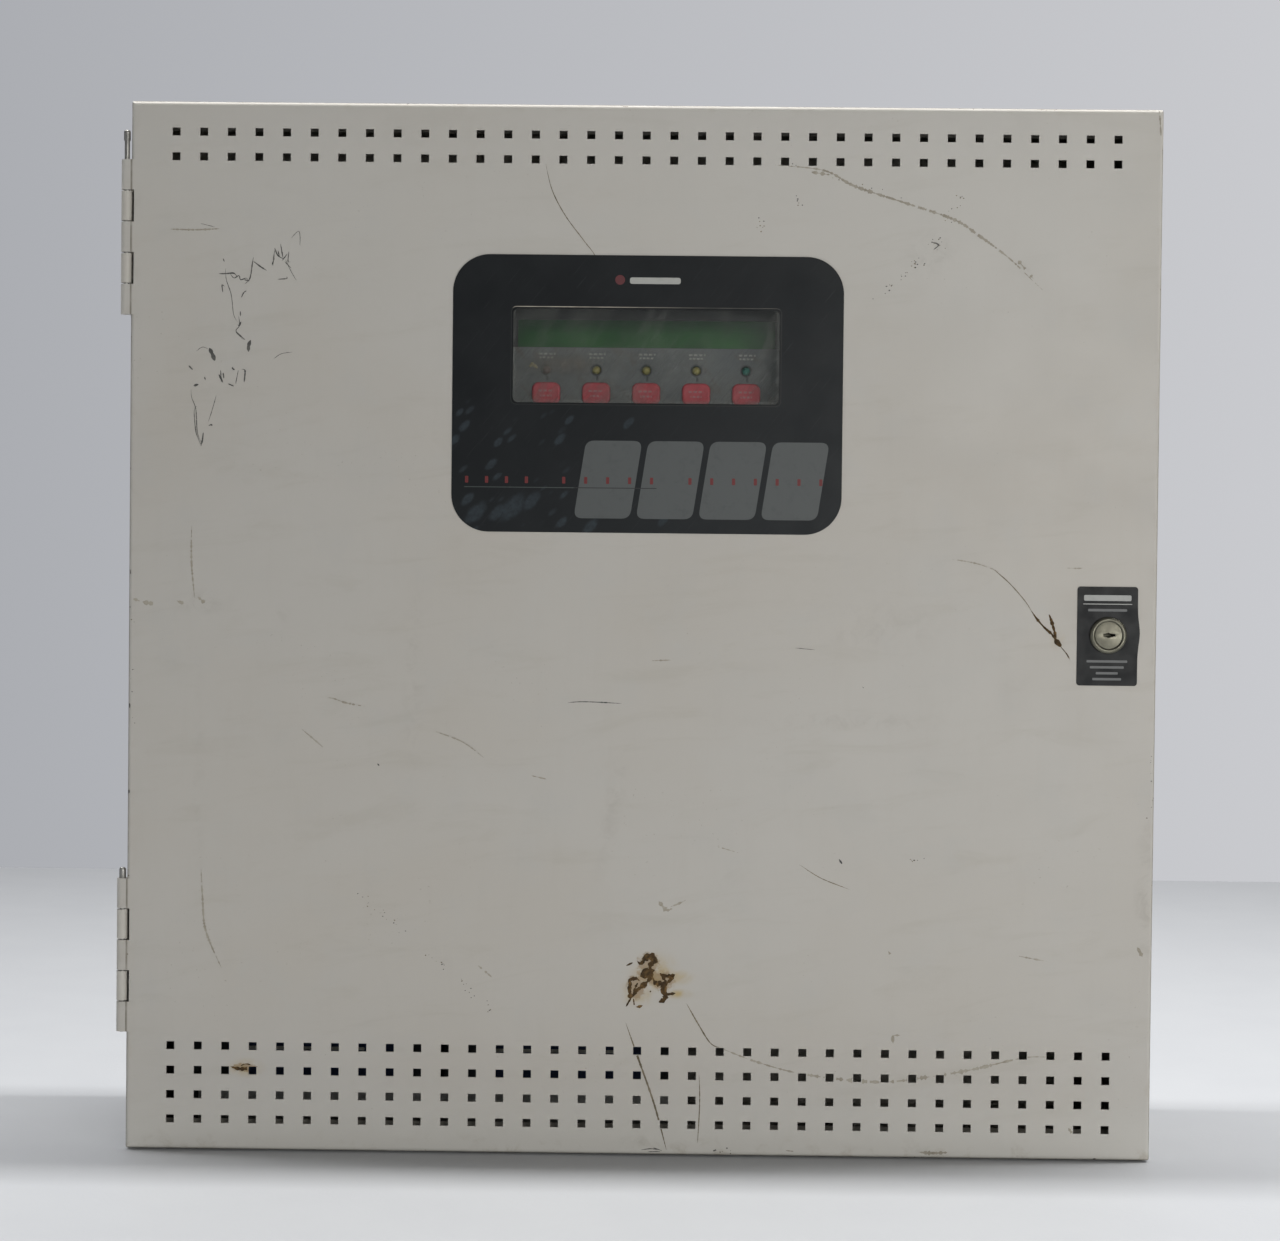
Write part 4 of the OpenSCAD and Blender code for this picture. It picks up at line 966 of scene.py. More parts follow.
def lock_label():
    """Black film round the lock; its right edge has lifted outward beside the head."""
    low, high = box_mm("lock_label")
    s = Shader("lock_label_film", Specular_IOR_Level=0.2)
    s.cloudy((12, 4, 0.6), (0.0085, 0.0098, 0.0108), (0.013, 0.0145, 0.0155))
    s.bump(s.noise(0.5, 2), 0.01, 0.6)
    film = s.done(Roughness=s.patches((9, 4), 0.3, 0.8, 0.36, 0.55))
    centre = centre_of(low, high)
    loop = rounded_loop(centre, high.x - low.x, high.z - low.z, 1.8)
    bulge = [(high.x + 1.3 * math.exp(-((z - LOCK.z - 1) / 8.5) ** 2), z)
             for z in range(int(low.z) + 4, int(high.z) - 3, 2)]
    kept = [p for p in loop if p[0] < high.x - 0.01 or p[1] < low.z + 2.2 or p[1] > high.z - 2.2]
    edge = sorted(kept + bulge, key=lambda p: math.atan2(p[1] - centre[1], p[0] - centre[0]))
    piece = Piece()
    piece.outline([edge, circle_loop((LOCK.x, LOCK.z), 9.6)], low.y, high.y)
    # bars in place of the printing: height over the lock, width, height, corner, skin, steps
    for rise, width, height, corner, skin, steps in (
            (22, 28, 3.4, 0.8, 1, 5), (18.4, 29, 0.5, 0.2, 1, 2), (14.8, 23, 1.5, 0.5, 2, 5),
            (-15.5, 24, 1.4, 0.4, 2, 5), (-19, 20, 1.4, 0.4, 2, 5), (-22.5, 13, 1.4, 0.4, 2, 5),
            (-26, 17, 1.4, 0.4, 2, 5)):
        piece.plate((LOCK.x - 0.5, LOCK.z + rise), width, height, corner, low.y - 0.03, low.y + 0.03,
                    0, skin, steps)
    white = flat_ink("lock_print_white", tone(170, 171, 168), 0.15)
    grey = flat_ink("lock_print_grey", tone(102, 104, 104), 0.2)
    piece.done("lock_label_lifted", "door", film, white, grey, slot="label_black",
               replaces=["lock_label"])


def lock_head(nickel):
    low, high = box_mm("lock_housing")
    depth = high.y - low.y
    profile = [(6.4, depth), (6.4, 1.7), (8.15, 1.7), (8.15, 0.75), (8.35, 0.42), (8.8, 0.1),
               (9.2, 0.0), (9.6, 0.08), (10.1, 0.4), (10.6, 0.85), (10.85, 1.25), (10.9, 1.5),
               (10.9, 2.6), (9.5, 2.6), (9.5, depth), (6.4, depth)]
    piece = Piece()
    piece.lathe((LOCK.x, low.y, LOCK.z), profile, sides=72)
    piece.done("lock_barrel", "door", nickel, slot="lock_nickel", replaces=["lock_housing"])


def lock_core(nickel, steel):
    """Plug with a worn keyhole, its barrel behind and the square tail for the cam."""
    low, high = box_mm("lock_plug")
    keyhole = [(-3.7, 0.5), (-3.3, 0.9), (-2.1, 0.75), (-1.7, 1.25), (-0.7, 1.4), (0.1, 1.15),
               (0.5, 0.8), (1.6, 1.05), (2.2, 0.7), (3.3, 0.85), (3.6, 0.2), (3.5, -0.7),
               (2.4, -0.6), (2.0, -0.95), (0.9, -0.7), (0.3, -1.3), (-0.9, -1.45), (-1.6, -1.0),
               (-2.4, -1.1), (-2.8, -0.7), (-3.6, -0.6)]
    keyhole = [(LOCK.x + 0.4 + x, LOCK.z + z) for x, z in keyhole]
    centre = (LOCK.x, LOCK.z)
    piece = Piece()
    piece.outline([circle_loop(centre, 8, 72), keyhole], low.y, low.y + 0.9, 0.12)
    piece.outline([circle_loop(centre, 6.35, 60), keyhole], low.y + 0.9, low.y + 12)
    barrel_back = box_mm("lock_housing")[1].y
    barrel = barrel_back - low.y - 12
    piece.lathe((LOCK.x, low.y + 12, LOCK.z),
                [(0, 0), (6.35, 0), (6.35, barrel), (2.5, barrel), (2.5, 1), (0, 1)], sides=60)
    piece.outline([rounded_loop(centre, 8, 8, 0.4, 2), circle_loop(centre, 2.5, 32)], barrel_back,
                  high.y, skin=1)
    piece.done("lock_core", "lock", nickel, steel, slot="lock_nickel", replaces=["lock_plug"])


# ------------------------------------------------------------------ display unit


def key_column(s):
    """Distance in X from the nearest of the evenly spaced key columns."""
    from_first = s.add(s.x, KEY_PITCH / 2 - UNIT_X)
    return s.sub(s.math("FLOORED_MODULO", from_first, KEY_PITCH), KEY_PITCH / 2)


def dashes(s, x, centre_z, half_width, half_height, pitch, offset=0.0):
    """A mask of short dashes in a row, where lettering would stand."""
    row = s.inside(s.z, centre_z, half_height, 0.25)
    waves = s.math("PINGPONG", s.add(x, 50 + offset), pitch)
    return s.mul(row, s.inside(x, 0, half_width, 0.3), s.band(waves, pitch * 0.22, pitch * 0.38))


def plate_metal():
    """Grey screened face plate with two tiny dashed rows over each lamp, a dusty, stained face and painted
    shade round each lamp's hole.
    """
    s = Shader("plate_screened")
    s.cloudy((30, 4, 0.6), tone(140, 145, 142), tone(122, 128, 128))
    stain = s.patches((9, 5, 0.65, 0.6), 0.5, 0.72, place=s.stretched((1, 1, 2), 30))
    s.layer(stain, 0.55, tone(124, 112, 96))
    local = key_column(s)
    columns = s.inside(s.x, UNIT_X, KEY_PITCH * 2.5, 0.5)
    rows = s.most(dashes(s, local, LED_Z + 9.4, 5.5, 0.55, 1.5),
                  dashes(s, local, LED_Z + 7.2, 4.2, 0.55, 1.2, 0.6))
    s.layer(s.mul(rows, columns), 0.75, tone(214, 214, 204))
    # a short dark line below each lamp; painted shade: a dark ring on the plate round each lamp's hole
    drip = s.mul(s.inside(local, 0.6, 0.7, 0.6), s.inside(s.z, LED_Z - 4.8, 1.6, 1.6))
    from_lamp = s.vector("SUBTRACT", s.node("CombineXYZ", {0: local, 2: s.z}), (0, 0, LED_Z))
    ring = s.fade(s.length(from_lamp), 3.0, 4.2)
    s.layer(s.mul(s.most(drip, ring), columns), 0.8, tone(52, 50, 47))
    s.bump(s.noise(0.6, 2), 0.015, 0.6)
    return s.done(Roughness=s.band(stain, 0, 1, 0.42, 0.6))


def lcd_material():
    """Green character glass with two faint rows of dot cells; darker along its top as painted shade under
    the window's upper edge.
    """
    low, high = box_mm("lcd_glass")
    s = Shader("lcd_green_glass", Roughness=0.22, Coat_Weight=0.4, Coat_Roughness=0.08)
    # painted shade: the glass darkens towards its top, under the window's upper edge; it is also darker
    # towards both ends
    s.colour = s.ramp(s.band(s.z, low.z, high.z), (0.0, tone(74, 138, 74)), (0.5, tone(52, 112, 56)),
                      (1.0, tone(12, 46, 22)))
    ends = s.fade(s.least(s.sub(s.x, low.x), s.sub(high.x, s.x)), 0, 16)
    s.layer(ends, 0.45, tone(14, 44, 24))
    cell_x = s.math("PINGPONG", s.sub(s.x, low.x), 1.9)
    cell_z = s.math("PINGPONG", s.sub(s.z, middle("lcd_glass").z), 4.0)
    cells = s.mul(s.band(cell_x, 0.2, 0.4), s.band(cell_z, 0.6, 0.9))
    s.layer(cells, 0.10, tone(24, 60, 26))
    s.layer(s.patches((26, 4, 0.6), 0.35, 0.7), 0.4, tone(36, 80, 44))
    s.bump(cells, 0.01, 0.3)
    return s.done()


def key_plastic():
    """Pinkish-red key cap with two dashed rows and shiny worn spots."""
    s = Shader("key_red_plastic", Subsurface_Weight=0.1, Subsurface_Scale=0.002)
    s.cloudy((7, 4, 0.6), tone(255, 92, 106), tone(240, 72, 86))
    local = key_column(s)
    top = box_mm("key_3")[0].y
    rows = s.most(dashes(s, local, KEY_Z + 1.5, 4.6, 0.6, 1.5),
                  dashes(s, local, KEY_Z - 1.5, 3.4, 0.6, 1.2, 0.4))
    s.layer(s.mul(rows, s.fade(s.y, top + 0.4, top + 0.6)), 0.6, tone(236, 196, 196))
    s.bump(s.noise(0.45, 2), 0.015, 0.6)
    return s.done(Roughness=s.band(s.patches((5, 4, 0.6), 0.5, 0.75), 0, 1, 0.42, 0.28))


def key_caps():
    """Flat caps with rounded corners, each with a flange behind the plate and a stem."""
    material = key_plastic()
    flange = 1.1
    for name in ("key_1", "key_2", "key_3", "key_4", "key_5"):
        low, high = box_mm(name)
        centre = centre_of(low, high)
        width, height, depth = high.x - low.x, high.z - low.z, high.y - low.y
        seat = PLATE_HIGH.y + 0.1 - low.y
        # distance behind the front face, how far inside the box, and corner radius of each ring
        rings = [(0.1, flange + 2.6, 2.0), (0.05, flange + 1.6, 2.7), (0.0, flange + 0.8, 3.3),
                 (0.1, flange + 0.35, 3.6), (0.35, flange + 0.08, 3.85), (0.7, flange, 3.9),
                 (seat - 0.1, flange, 3.9), (seat, 0, 3.9), (seat + 1.2, 0, 3.9)]
        piece = Piece()
        piece.loft([[(x, low.y + back, z) for x, z in rounded_loop(
            centre, width - 2 * inset, height - 2 * inset, radius, 7)]
                    for back, inset, radius in rings])
        stem = depth - seat - 1.1
        piece.lathe((centre[0], low.y + seat + 1.1, centre[1]), [(0, 0), (3, 0), (3, stem), (0, stem)],
                    sides=24)
        piece.done(name + "_cap", name, material, slot="key_red", replaces=[name])


def lamp_plastic(name, colour, deep):
    """Tinted cast resin, darker towards its foot as painted shade inside the plate's hole, scuffed on top.
    """
    s = Shader(name, Transmission_Weight=0.25, IOR=1.5)
    # painted shade: the resin darkens where it sits deeper in the plate's hole
    s.colour = s.mix(s.band(s.y, PLATE_LOW.y - 1, PLATE_LOW.y + 4), colour, deep)
    s.layer(s.patches((1.6, 4, 0.6), 0.52, 0.7), 0.5, shaded(deep, 0.55))
    s.bump(s.noise(1.5, 2), 0.03, 0.5)
    return s.done(Roughness=s.patches((2, 3), 0.35, 0.75, 0.16, 0.4))


def lamps():
    groups = (("led_alarm", "red", tone(136, 66, 54), tone(84, 34, 28), (-2,)),
              ("leds_trouble", "yellow", tone(232, 222, 124), tone(140, 126, 44), (-1, 0, 1)),
              ("led_power", "green", tone(60, 178, 156), tone(20, 88, 78), (2,)))
    resins = [lamp_plastic("lamp_" + hue + "_resin", colour, deep) for _, hue, colour, deep, _ in groups]
    radius = 2.5
    dome = [(radius * math.sin(k * math.pi / 16), radius - radius * math.cos(k * math.pi / 16))
            for k in range(9)]
    for resin, (node, hue, _, _, columns) in zip(resins, groups):
        low, high = box_mm(node)
        length = high.y - low.y
        body = [(radius, length - 1.2), (2.95, length - 1.1), (2.95, length - 0.1), (2.85, length),
                (0, length)]
        piece = Piece()
        for column in columns:
            piece.lathe((UNIT_X + column * KEY_PITCH, low.y, LED_Z), dome + body, sides=32)
        piece.done(node + "_resin", "cabinet", resin, slot="lamp_" + hue, replaces=[node])


def bright_plate_specks():
    """Bright yellowish crumbs on the face plate beside the first lamp."""
    piece = Piece()
    for across, up, size in ((-8.4, 3.0, 1.3), (-6.9, 2.2, 1.1), (-9.6, 2.0, 0.8), (-5.9, 1.2, 0.8)):
        centre = (UNIT_X - 2 * KEY_PITCH + across, PLATE_LOW.y, LED_Z + up)
        ring = [(size * 0.35, -0.35), (size * 0.8, -0.25), (size, 0.0), (size * 0.9, 0.05)]
        piece.lathe(centre, [(0, -0.4)] + ring + [(0, 0.05)], sides=9)
    piece.done("plate_crumbs", "cabinet", film_material(
        "crumb", (0.3, tone(206, 186, 112)), (0.7, tone(250, 240, 196)), size=1.0, rough=0.7))


# ------------------------------------------------------------------ inside the cabinet


def circuit_board(name, colour, deep):
    """Varnished board: copper tracks under the green and plated dots on a grid."""
    s = Shader(name, Specular_IOR_Level=0.45)
    s.cloudy((40, 4, 0.6), colour, deep)
    region = s.patches((34, 2, 0.4), 0.49, 0.51)
    runs = []
    for value, stretch, share in ((s.z, (16, 1, 2.6), region), (s.x, (2.6, 1, 19), s.sub(1.0, region))):
        lanes = s.band(s.math("PINGPONG", value, 1.27), 0.5, 0.7)
        chosen = s.band(s.cells(1, s.stretched(stretch), "Color", 0.0), 0.5, 0.52)
        runs.append(s.mul(lanes, chosen, share))
    tracks = s.add(*runs)
    s.layer(tracks, 0.7, shaded(colour, 2.1))
    dots = s.most(*(s.math("PINGPONG", s.add(value, 100.33), 5.08) for value in (s.x, s.z)))
    pads = s.mul(s.fade(dots, 0.55, 0.75), s.patches((26, 2, 0.5), 0.47, 0.5))
    s.layer(pads, 1.0, (0.55, 0.53, 0.48))
    s.bump(s.add(s.mul(tracks, 0.5), pads), 0.04)
    dust = s.patches((9, 5, 0.7), 0.5, 0.85)
    return s.done(Metallic=s.mul(pads, 0.8), Roughness=s.band(dust, 0.0, 1.0, 0.28, 0.55))


def striped(s, value, pitch, share=0.5):
    """1 on the crests of regular stripes along a value, 0 between them."""
    half = pitch / 2
    return s.band(s.math("PINGPONG", value, half), half * (share - 0.15), half * (share + 0.15))


def laminated_iron():
    s = Shader("laminated_iron", Metallic=0.75, Roughness=0.5)
    sheets = striped(s, s.z, 0.9)
    s.colour = (0.115, 0.105, 0.1)
    s.layer(sheets, 0.5, (0.06, 0.055, 0.052))
    s.layer(s.patches((7, 5, 0.65), 0.45, 0.75), 0.5, tone(104, 74, 52))
    s.bump(sheets, 0.12)
    return s.done()


def wound_tape():
    """Amber polyester tape wound round the coil, with overlapping turns."""
    s = Shader("amber_tape", Roughness=0.3, Coat_Weight=0.3)
    width = 9.5
    turns = s.math("FLOORED_MODULO", s.add(s.z, s.mul(s.x, 0.06)), width)
    rise = s.band(turns, 0, width)
    s.colour = s.mix(rise, tone(214, 168, 44), tone(176, 128, 26))
    s.layer(s.band(turns, width - 0.6, width - 0.1), 1.0, tone(120, 84, 16))
    s.bump(rise, 0.35)
    s.bump(s.noise(6, 3), 0.15)
    return s.done()


def flat_cable():
    """Grey ribbed cable whose first conductor is marked red."""
    low = box_mm("ribbon_cable")[0]
    s = Shader("grey_flat_cable", Roughness=0.42)
    s.cloudy((12, 4), tone(158, 163, 168), tone(140, 145, 150))
    s.layer(s.fade(s.x, low.x + 1.15, low.x + 1.35), 1.0, tone(168, 46, 44))
    s.bump(s.noise(0.8, 2), 0.02)
    return s.done()


def paper_card():
    """The card inside the door: ruled lines and rows of short dashes."""
    low, high = box_mm("inside_label")
    centre = centre_of(low, high)
    line_pitch, border = 9.0, 8
    s = Shader("ruled_card", Roughness=0.75, Specular_IOR_Level=0.25)
    s.colour = tone(222, 219, 208)
    s.layer(s.patches((30, 5, 0.6), 0.5, 0.8), 0.5, tone(190, 178, 150))
    lines = s.mul(s.sub(1.0, striped(s, s.z, line_pitch, 0.16)), 0.6)
    margin = s.mul(s.inside(s.x, centre[0], (high.x - low.x) / 2 - border, 0.2),
                   s.inside(s.z, centre[1], (high.z - low.z) / 2 - border, 0.2))
    between = s.math("PINGPONG", s.add(s.z, line_pitch / 2), line_pitch / 2)
    words = s.mul(s.fade(between, 0.8, 1.1),
                  s.patches((1, 3, 0.6), 0.44, 0.5, place=s.stretched((4, 1, 7))),
                  s.patches((1, 2, 0.5), 0.42, 0.46, place=s.stretched((55, 1, line_pitch))))
    s.layer(s.mul(s.most(lines, words), margin), 0.55, tone(88, 92, 102))
    s.bump(s.noise(0.7, 4, 0.6), 0.03)
    return s.done()


def relay_cases(blue, ink):
    """Blue sealed cases with a foot, a moulding seam and printed bars."""
    piece = Piece()
    for low, high in solids("relays"):
        foot = high.y - 2.2
        piece.block((low.x, foot, low.z), high, 0.4)
        piece.block((low.x + 0.35, low.y, low.z + 0.35), (high.x - 0.35, foot + 0.2, high.z - 0.35), 0.9)
        piece.block((low.x + 2.2, low.y - 0.02, low.z + 2), (low.x + 3.4, low.y + 0.5, low.z + 3.2), 0.3)
        for k, length in enumerate((9.5, 7, 8.4)):
            start = (low.x + 3, low.y - 0.04, high.z - 5 - 2.6 * k)
            piece.block(start, (start[0] + length, low.y + 0.1, start[2] + 0.9), 0, 1)
    piece.done("relay_cases", "cabinet", blue, ink, slot="relay_blue", replaces=["relays"])


def chip_packages(epoxy, tin, ink):
    """Moulded packages with a dot near the first leg and bent legs along their sides."""
    piece = Piece()
    leg, pitch, half_leg, thick = 1.6, 2.54, 0.38, 0.3
    for low, high in solids("chips"):
        width, height = high.x - low.x, high.z - low.z
        square = abs(width - height) < 1
        centre = centre_of(low, high)
        if square:
            loop = rounded_loop(centre, width - 2 * leg, height - 2 * leg, 0.8, 2)
            dot = circle_loop((low.x + 6, high.z - 6), 0.8, 16)
        else:
            loop = rounded_loop(centre, width, height - 2 * leg, 0.4, 2)
            dot = circle_loop((low.x + 2.4, centre[1]), 1.1, 16)
        piece.outline([loop, dot], low.y, low.y + 0.5, 0.1)
        piece.outline([loop], low.y + 0.4, high.y - 0.8, 0.15)
        shelf = (low.y + high.y) / 2
        # legs run along X (axis 0) on every chip, along Z (axis 1) on the square one only
        for axis, side in ((0, 1), (0, -1), (1, 1), (1, -1))[:4 if square else 2]:
            length = (width, height)[axis]
            count = int((length - 4) / pitch) if square else int(length / pitch)
            out = side * (height, width)[axis] / 2
            root, tip = sorted((out - side * leg, out))
            foot = out - side * thick
            for k in range(count):
                along = (k - (count - 1) / 2) * pitch
                for start, end, back in ((root, tip, shelf + thick),
                                         (foot - thick / 2, foot + thick / 2, high.y)):
                    x, z = ((along, start), (start, along))[axis]
                    far_x, far_z = ((along, end), (end, along))[axis]
                    wide_x, wide_z = ((half_leg, 0), (0, half_leg))[axis]
                    piece.block((centre[0] + x - wide_x, shelf, centre[1] + z - wide_z),
                                (centre[0] + far_x + wide_x, back, centre[1] + far_z + wide_z), 0, 1)
        for k, share in enumerate((0.5, 0.36)):
            bar = (width - 9) * share
            piece.block((centre[0] - bar / 2, low.y - 0.03, centre[1] + 0.5 - 1.7 * k),
                        (centre[0] + bar / 2, low.y + 0.1, centre[1] + 1.2 - 1.7 * k), 0, 2)
    piece.done("chip_packages", "cabinet", epoxy, tin, ink, slot="black_plastic", replaces=["chips"])


def capacitor_cans(sleeve, aluminium, ink):
    """Sleeved cans: a rolled groove near the foot, a crimped rim and a scored metal top."""
    piece = Piece()
    for low, high in solids("capacitors"):
        radius, length = (high.x - low.x) / 2, high.y - low.y
        x, z = centre_of(low, high)
        groove = length - 3.6
        skirt = [(1.0, 0.35), (0.9, 0.05), (0.5, 0), (0.15, 0.15), (0, 0.6), (0, groove - 1),
                 (0.5, groove - 0.4), (0.7, groove), (0.5, groove + 0.4), (0, groove + 1),
                 (0, length - 0.3), (0.5, length)]
        rim = [(radius - inset, y) for inset, y in skirt]
        piece.lathe((x, low.y, z), rim + [(0, length), (0, 0.4), rim[0]], sides=48)
        piece.lathe((x, low.y, z), [(0, 0.3), (radius - 1.4, 0.3), (radius - 1.05, 0.12),
                                    (radius - 0.95, 0.5), (0, 0.5)], sides=48, skin=1)
        arm, score = radius * 0.6, 0.16
        for wide, tall in ((arm, score), (score, arm)):
            piece.block((x - wide, low.y + 0.27, z - tall), (x + wide, low.y + 0.4, z + tall), 0, 2)
        reach = radius + 0.03
        front, back = low.y + 1.2, low.y + groove - 1.6
        stripe = []
        for k in range(5):
            turn = math.radians(35) + (k - 2) * 0.13
            corners = ((reach, front), (reach, back), (reach - 0.2, back), (reach - 0.2, front))
            stripe.append([(x + r * math.cos(turn), y, z + r * math.sin(turn)) for r, y in corners])
        piece.loft(stripe, 3)
    piece.done("capacitor_cans", "cabinet", sleeve, aluminium, ink["dark"], ink["pale"],
               slot="capacitor_sleeve", replaces=["capacitors"])


def glass_fuses(glass, tin):
    """Glass tubes with plated end caps and the thin wire between them."""
    piece = Piece()
    cap = 5.2
    for low, high in solids("fuses"):
        radius, length = (high.y - low.y) / 2, high.x - low.x
        centre = (low.x, (low.y + high.y) / 2, (low.z + high.z) / 2)
        inner, outer = radius - 0.9, radius - 0.25
        tube = [(inner, cap - 1), (outer, cap - 1), (outer, length - cap + 1),
                (inner, length - cap + 1), (inner, cap - 1)]
        piece.lathe(centre, tube, axis="x", sides=28)
        for start, way in ((0, 1), (length, -1)):
            shell = [(0, 0), (radius - 0.5, 0), (radius - 0.1, 0.2), (radius, 0.6), (radius, cap),
                     (radius - 0.2, cap), (0, cap - 0.4)]
            piece.lathe(centre, [(r, start + way * along) for r, along in shell], axis="x", sides=28,
                        skin=1)
        piece.lathe(centre, [(0, 2), (0.2, 2), (0.2, length - 2), (0, length - 2)], axis="x", sides=8,
                    skin=1)
    piece.done("glass_fuses", "cabinet", glass, tin, slot="fuse_glass", replaces=["fuses"])


def sounder_shell(black):
    low, high = box_mm("sounder")
    radius, length = (high.x - low.x) / 2, high.y - low.y
    x, z = centre_of(low, high)
    shape = [(2, 5), (2, 0.5), (2.5, 0.15), (3.4, 0), (4.2, 0.5), (radius - 3.2, 0.5),
             (radius - 2.6, 0), (radius - 1.4, 0), (radius - 0.9, 0.4), (radius - 0.8, 1.2),
             (radius - 0.8, length - 3), (radius, length - 2.6), (radius, length), (0, length),
             (0, 5), (2, 5)]
    piece = Piece()
    piece.lathe((x, low.y, z), shape, sides=64)
    piece.done("sounder_shell", "cabinet", black, slot="black_plastic", replaces=["sounder"])


def ribbed_cable(grey):
    """The flat cable: 26 round conductors side by side, along two arcs and the run between them."""
    low, high = box_mm("ribbon_cable")
    bend, thick, conductors, steps = 14.0, 1.0, 26, 6
    front_y, back_y = low.y + thick / 2, high.y - thick / 2
    middle_z = (low.z + high.z) / 2
    turns = [math.pi / 2 * k / 10 for k in range(11)]
    line = [(back_y, low.z)]
    line += [(back_y - bend + bend * math.cos(a), middle_z - bend + bend * math.sin(a)) for a in turns]
    line += [(front_y + bend - bend * math.sin(a), middle_z + bend - bend * math.cos(a)) for a in turns]
    line.append((front_y, high.z))
    width = high.x - low.x
    shares = [k / (conductors * steps) for k in range(conductors * steps + 1)]
    heights = [0.16 + 0.34 * abs(math.sin(math.pi * conductors * share)) for share in shares]
    loops = []
    for k, (y, z) in enumerate(line):
        before, after = line[max(k - 1, 0)], line[min(k + 1, len(line) - 1)]
        along = Vector((after[0] - before[0], after[1] - before[1])).normalized()
        upper, lower = ([(low.x + width * share, y - along.y * h * side, z + along.x * h * side)
                         for share, h in zip(shares, heights)] for side in (1, -1))
        loops.append(upper + lower[::-1])
    piece = Piece()
    piece.loft(loops)
    piece.done("ribbed_cable", "cabinet", grey, slot="ribbon_grey", replaces=["ribbon_cable"], sharp=60)


def wound_coil(tape, card):
    """The transformer's winding: two end boards and a plump taped coil between them."""
    low, high = box_mm("transformer_coil")
    piece = Piece()
    piece.block((low.x + 0.8, low.y + 0.8, low.z + 2), (high.x - 0.8, high.y - 0.8, high.z - 2), 5, 0, 5)
    core_low, core_high = box_mm("transformer_core")
    for z in (core_high.z + 0.2, core_low.z - 1.7):
        piece.block((low.x, low.y, z), (high.x, high.y, z + 1.5), 0.4, 1)
    piece.done("wound_coil", "cabinet", tape, card, slot="coil_tape", replaces=["transformer_coil"])


# Middle lines of the wires, from end to end
BATTERY_TOP = box_mm("battery_wires")[0].z
BATTERY_ROUTES = [
    [(-262, -90, BATTERY_TOP), (-262, -90, -194), (-258, -88, -186), (-248, -84, -181), (-230, -78, -180),
     (-205, -70, -180), (-180, -60, -180), (-158, -48, -176), (-142, -36, -164), (-131, -27, -146),
     (-124, -23, -126), (-121, -22, -106), (-121, -22, -66)],
    [(18, -90, BATTERY_TOP), (18, -90, -194), (14, -88, -186), (4, -84, -180), (-14, -78, -176),
     (-38, -68, -172), (-62, -55, -164), (-84, -41, -152), (-100, -30, -136), (-110, -24, -118),
     (-113.5, -22, -104), (-113.5, -22, -66)],
    [(-138, -90, BATTERY_TOP), (-138, -90, -196), (-136, -90, -190), (-130, -90, -184), (-122, -90, -182),
     (-114, -90, -184), (-108, -90, -190), (-106, -90, -196), (-106, -90, BATTERY_TOP)],
]
TRANSFORMER_ROUTES = [
    [(-225, -44, -80), (-225, -44, -74), (-222, -46, -66), (-212, -48, -60), (-195, -49, -60),
     (-175, -48, -68), (-155, -44, -82), (-135, -38, -94), (-118, -30, -98), (-106, -24, -96),
     (-100, -22, -90), (-98.5, -22, -82), (-98.5, -22, -66)],
    [(-209, -44, -80), (-209, -44, -76), (-206, -45, -70), (-198, -44, -67), (-185, -43, -70),
     (-168, -41, -80), (-148, -38, -94), (-128, -35, -104), (-112, -32, -108), (-99, -26, -106),
     (-92, -22, -97), (-91, -22, -86), (-91, -22, -66)],
]
MAINS_ROUTES = [
    [(-246, -16, 23), (-246, -16, 12), (-246, -18, -8), (-244, -24, -30), (-240, -33, -50),
     (-238, -39, -64), (-238, -40, -80)],
    [(-236, -16, 23), (-236, -16, 12), (-235, -17, -8), (-230, -20, -30), (-222, -24, -50),
     (-219, -26, -64), (-219, -26, -80)],
]
WIRE_RADIUS = 1.4


def wires(red, black, yellow):
    """Smooth insulated wires; each group is one piece."""
    groups = (("battery_wires", "wire_red", BATTERY_ROUTES, (0, 1, 1)),
              ("transformer_leads", "wire_yellow", TRANSFORMER_ROUTES, (2, 2)),
              ("mains_leads", "wire_black", MAINS_ROUTES, (1, 1)))
    for node, slot, routes, skins in groups:
        piece = Piece()
        for route, skin in zip(routes, skins):
            piece.tube(route, WIRE_RADIUS, skin, 3)
        piece.done(node + "_run", "cabinet", red, black, yellow, slot=slot, replaces=[node])


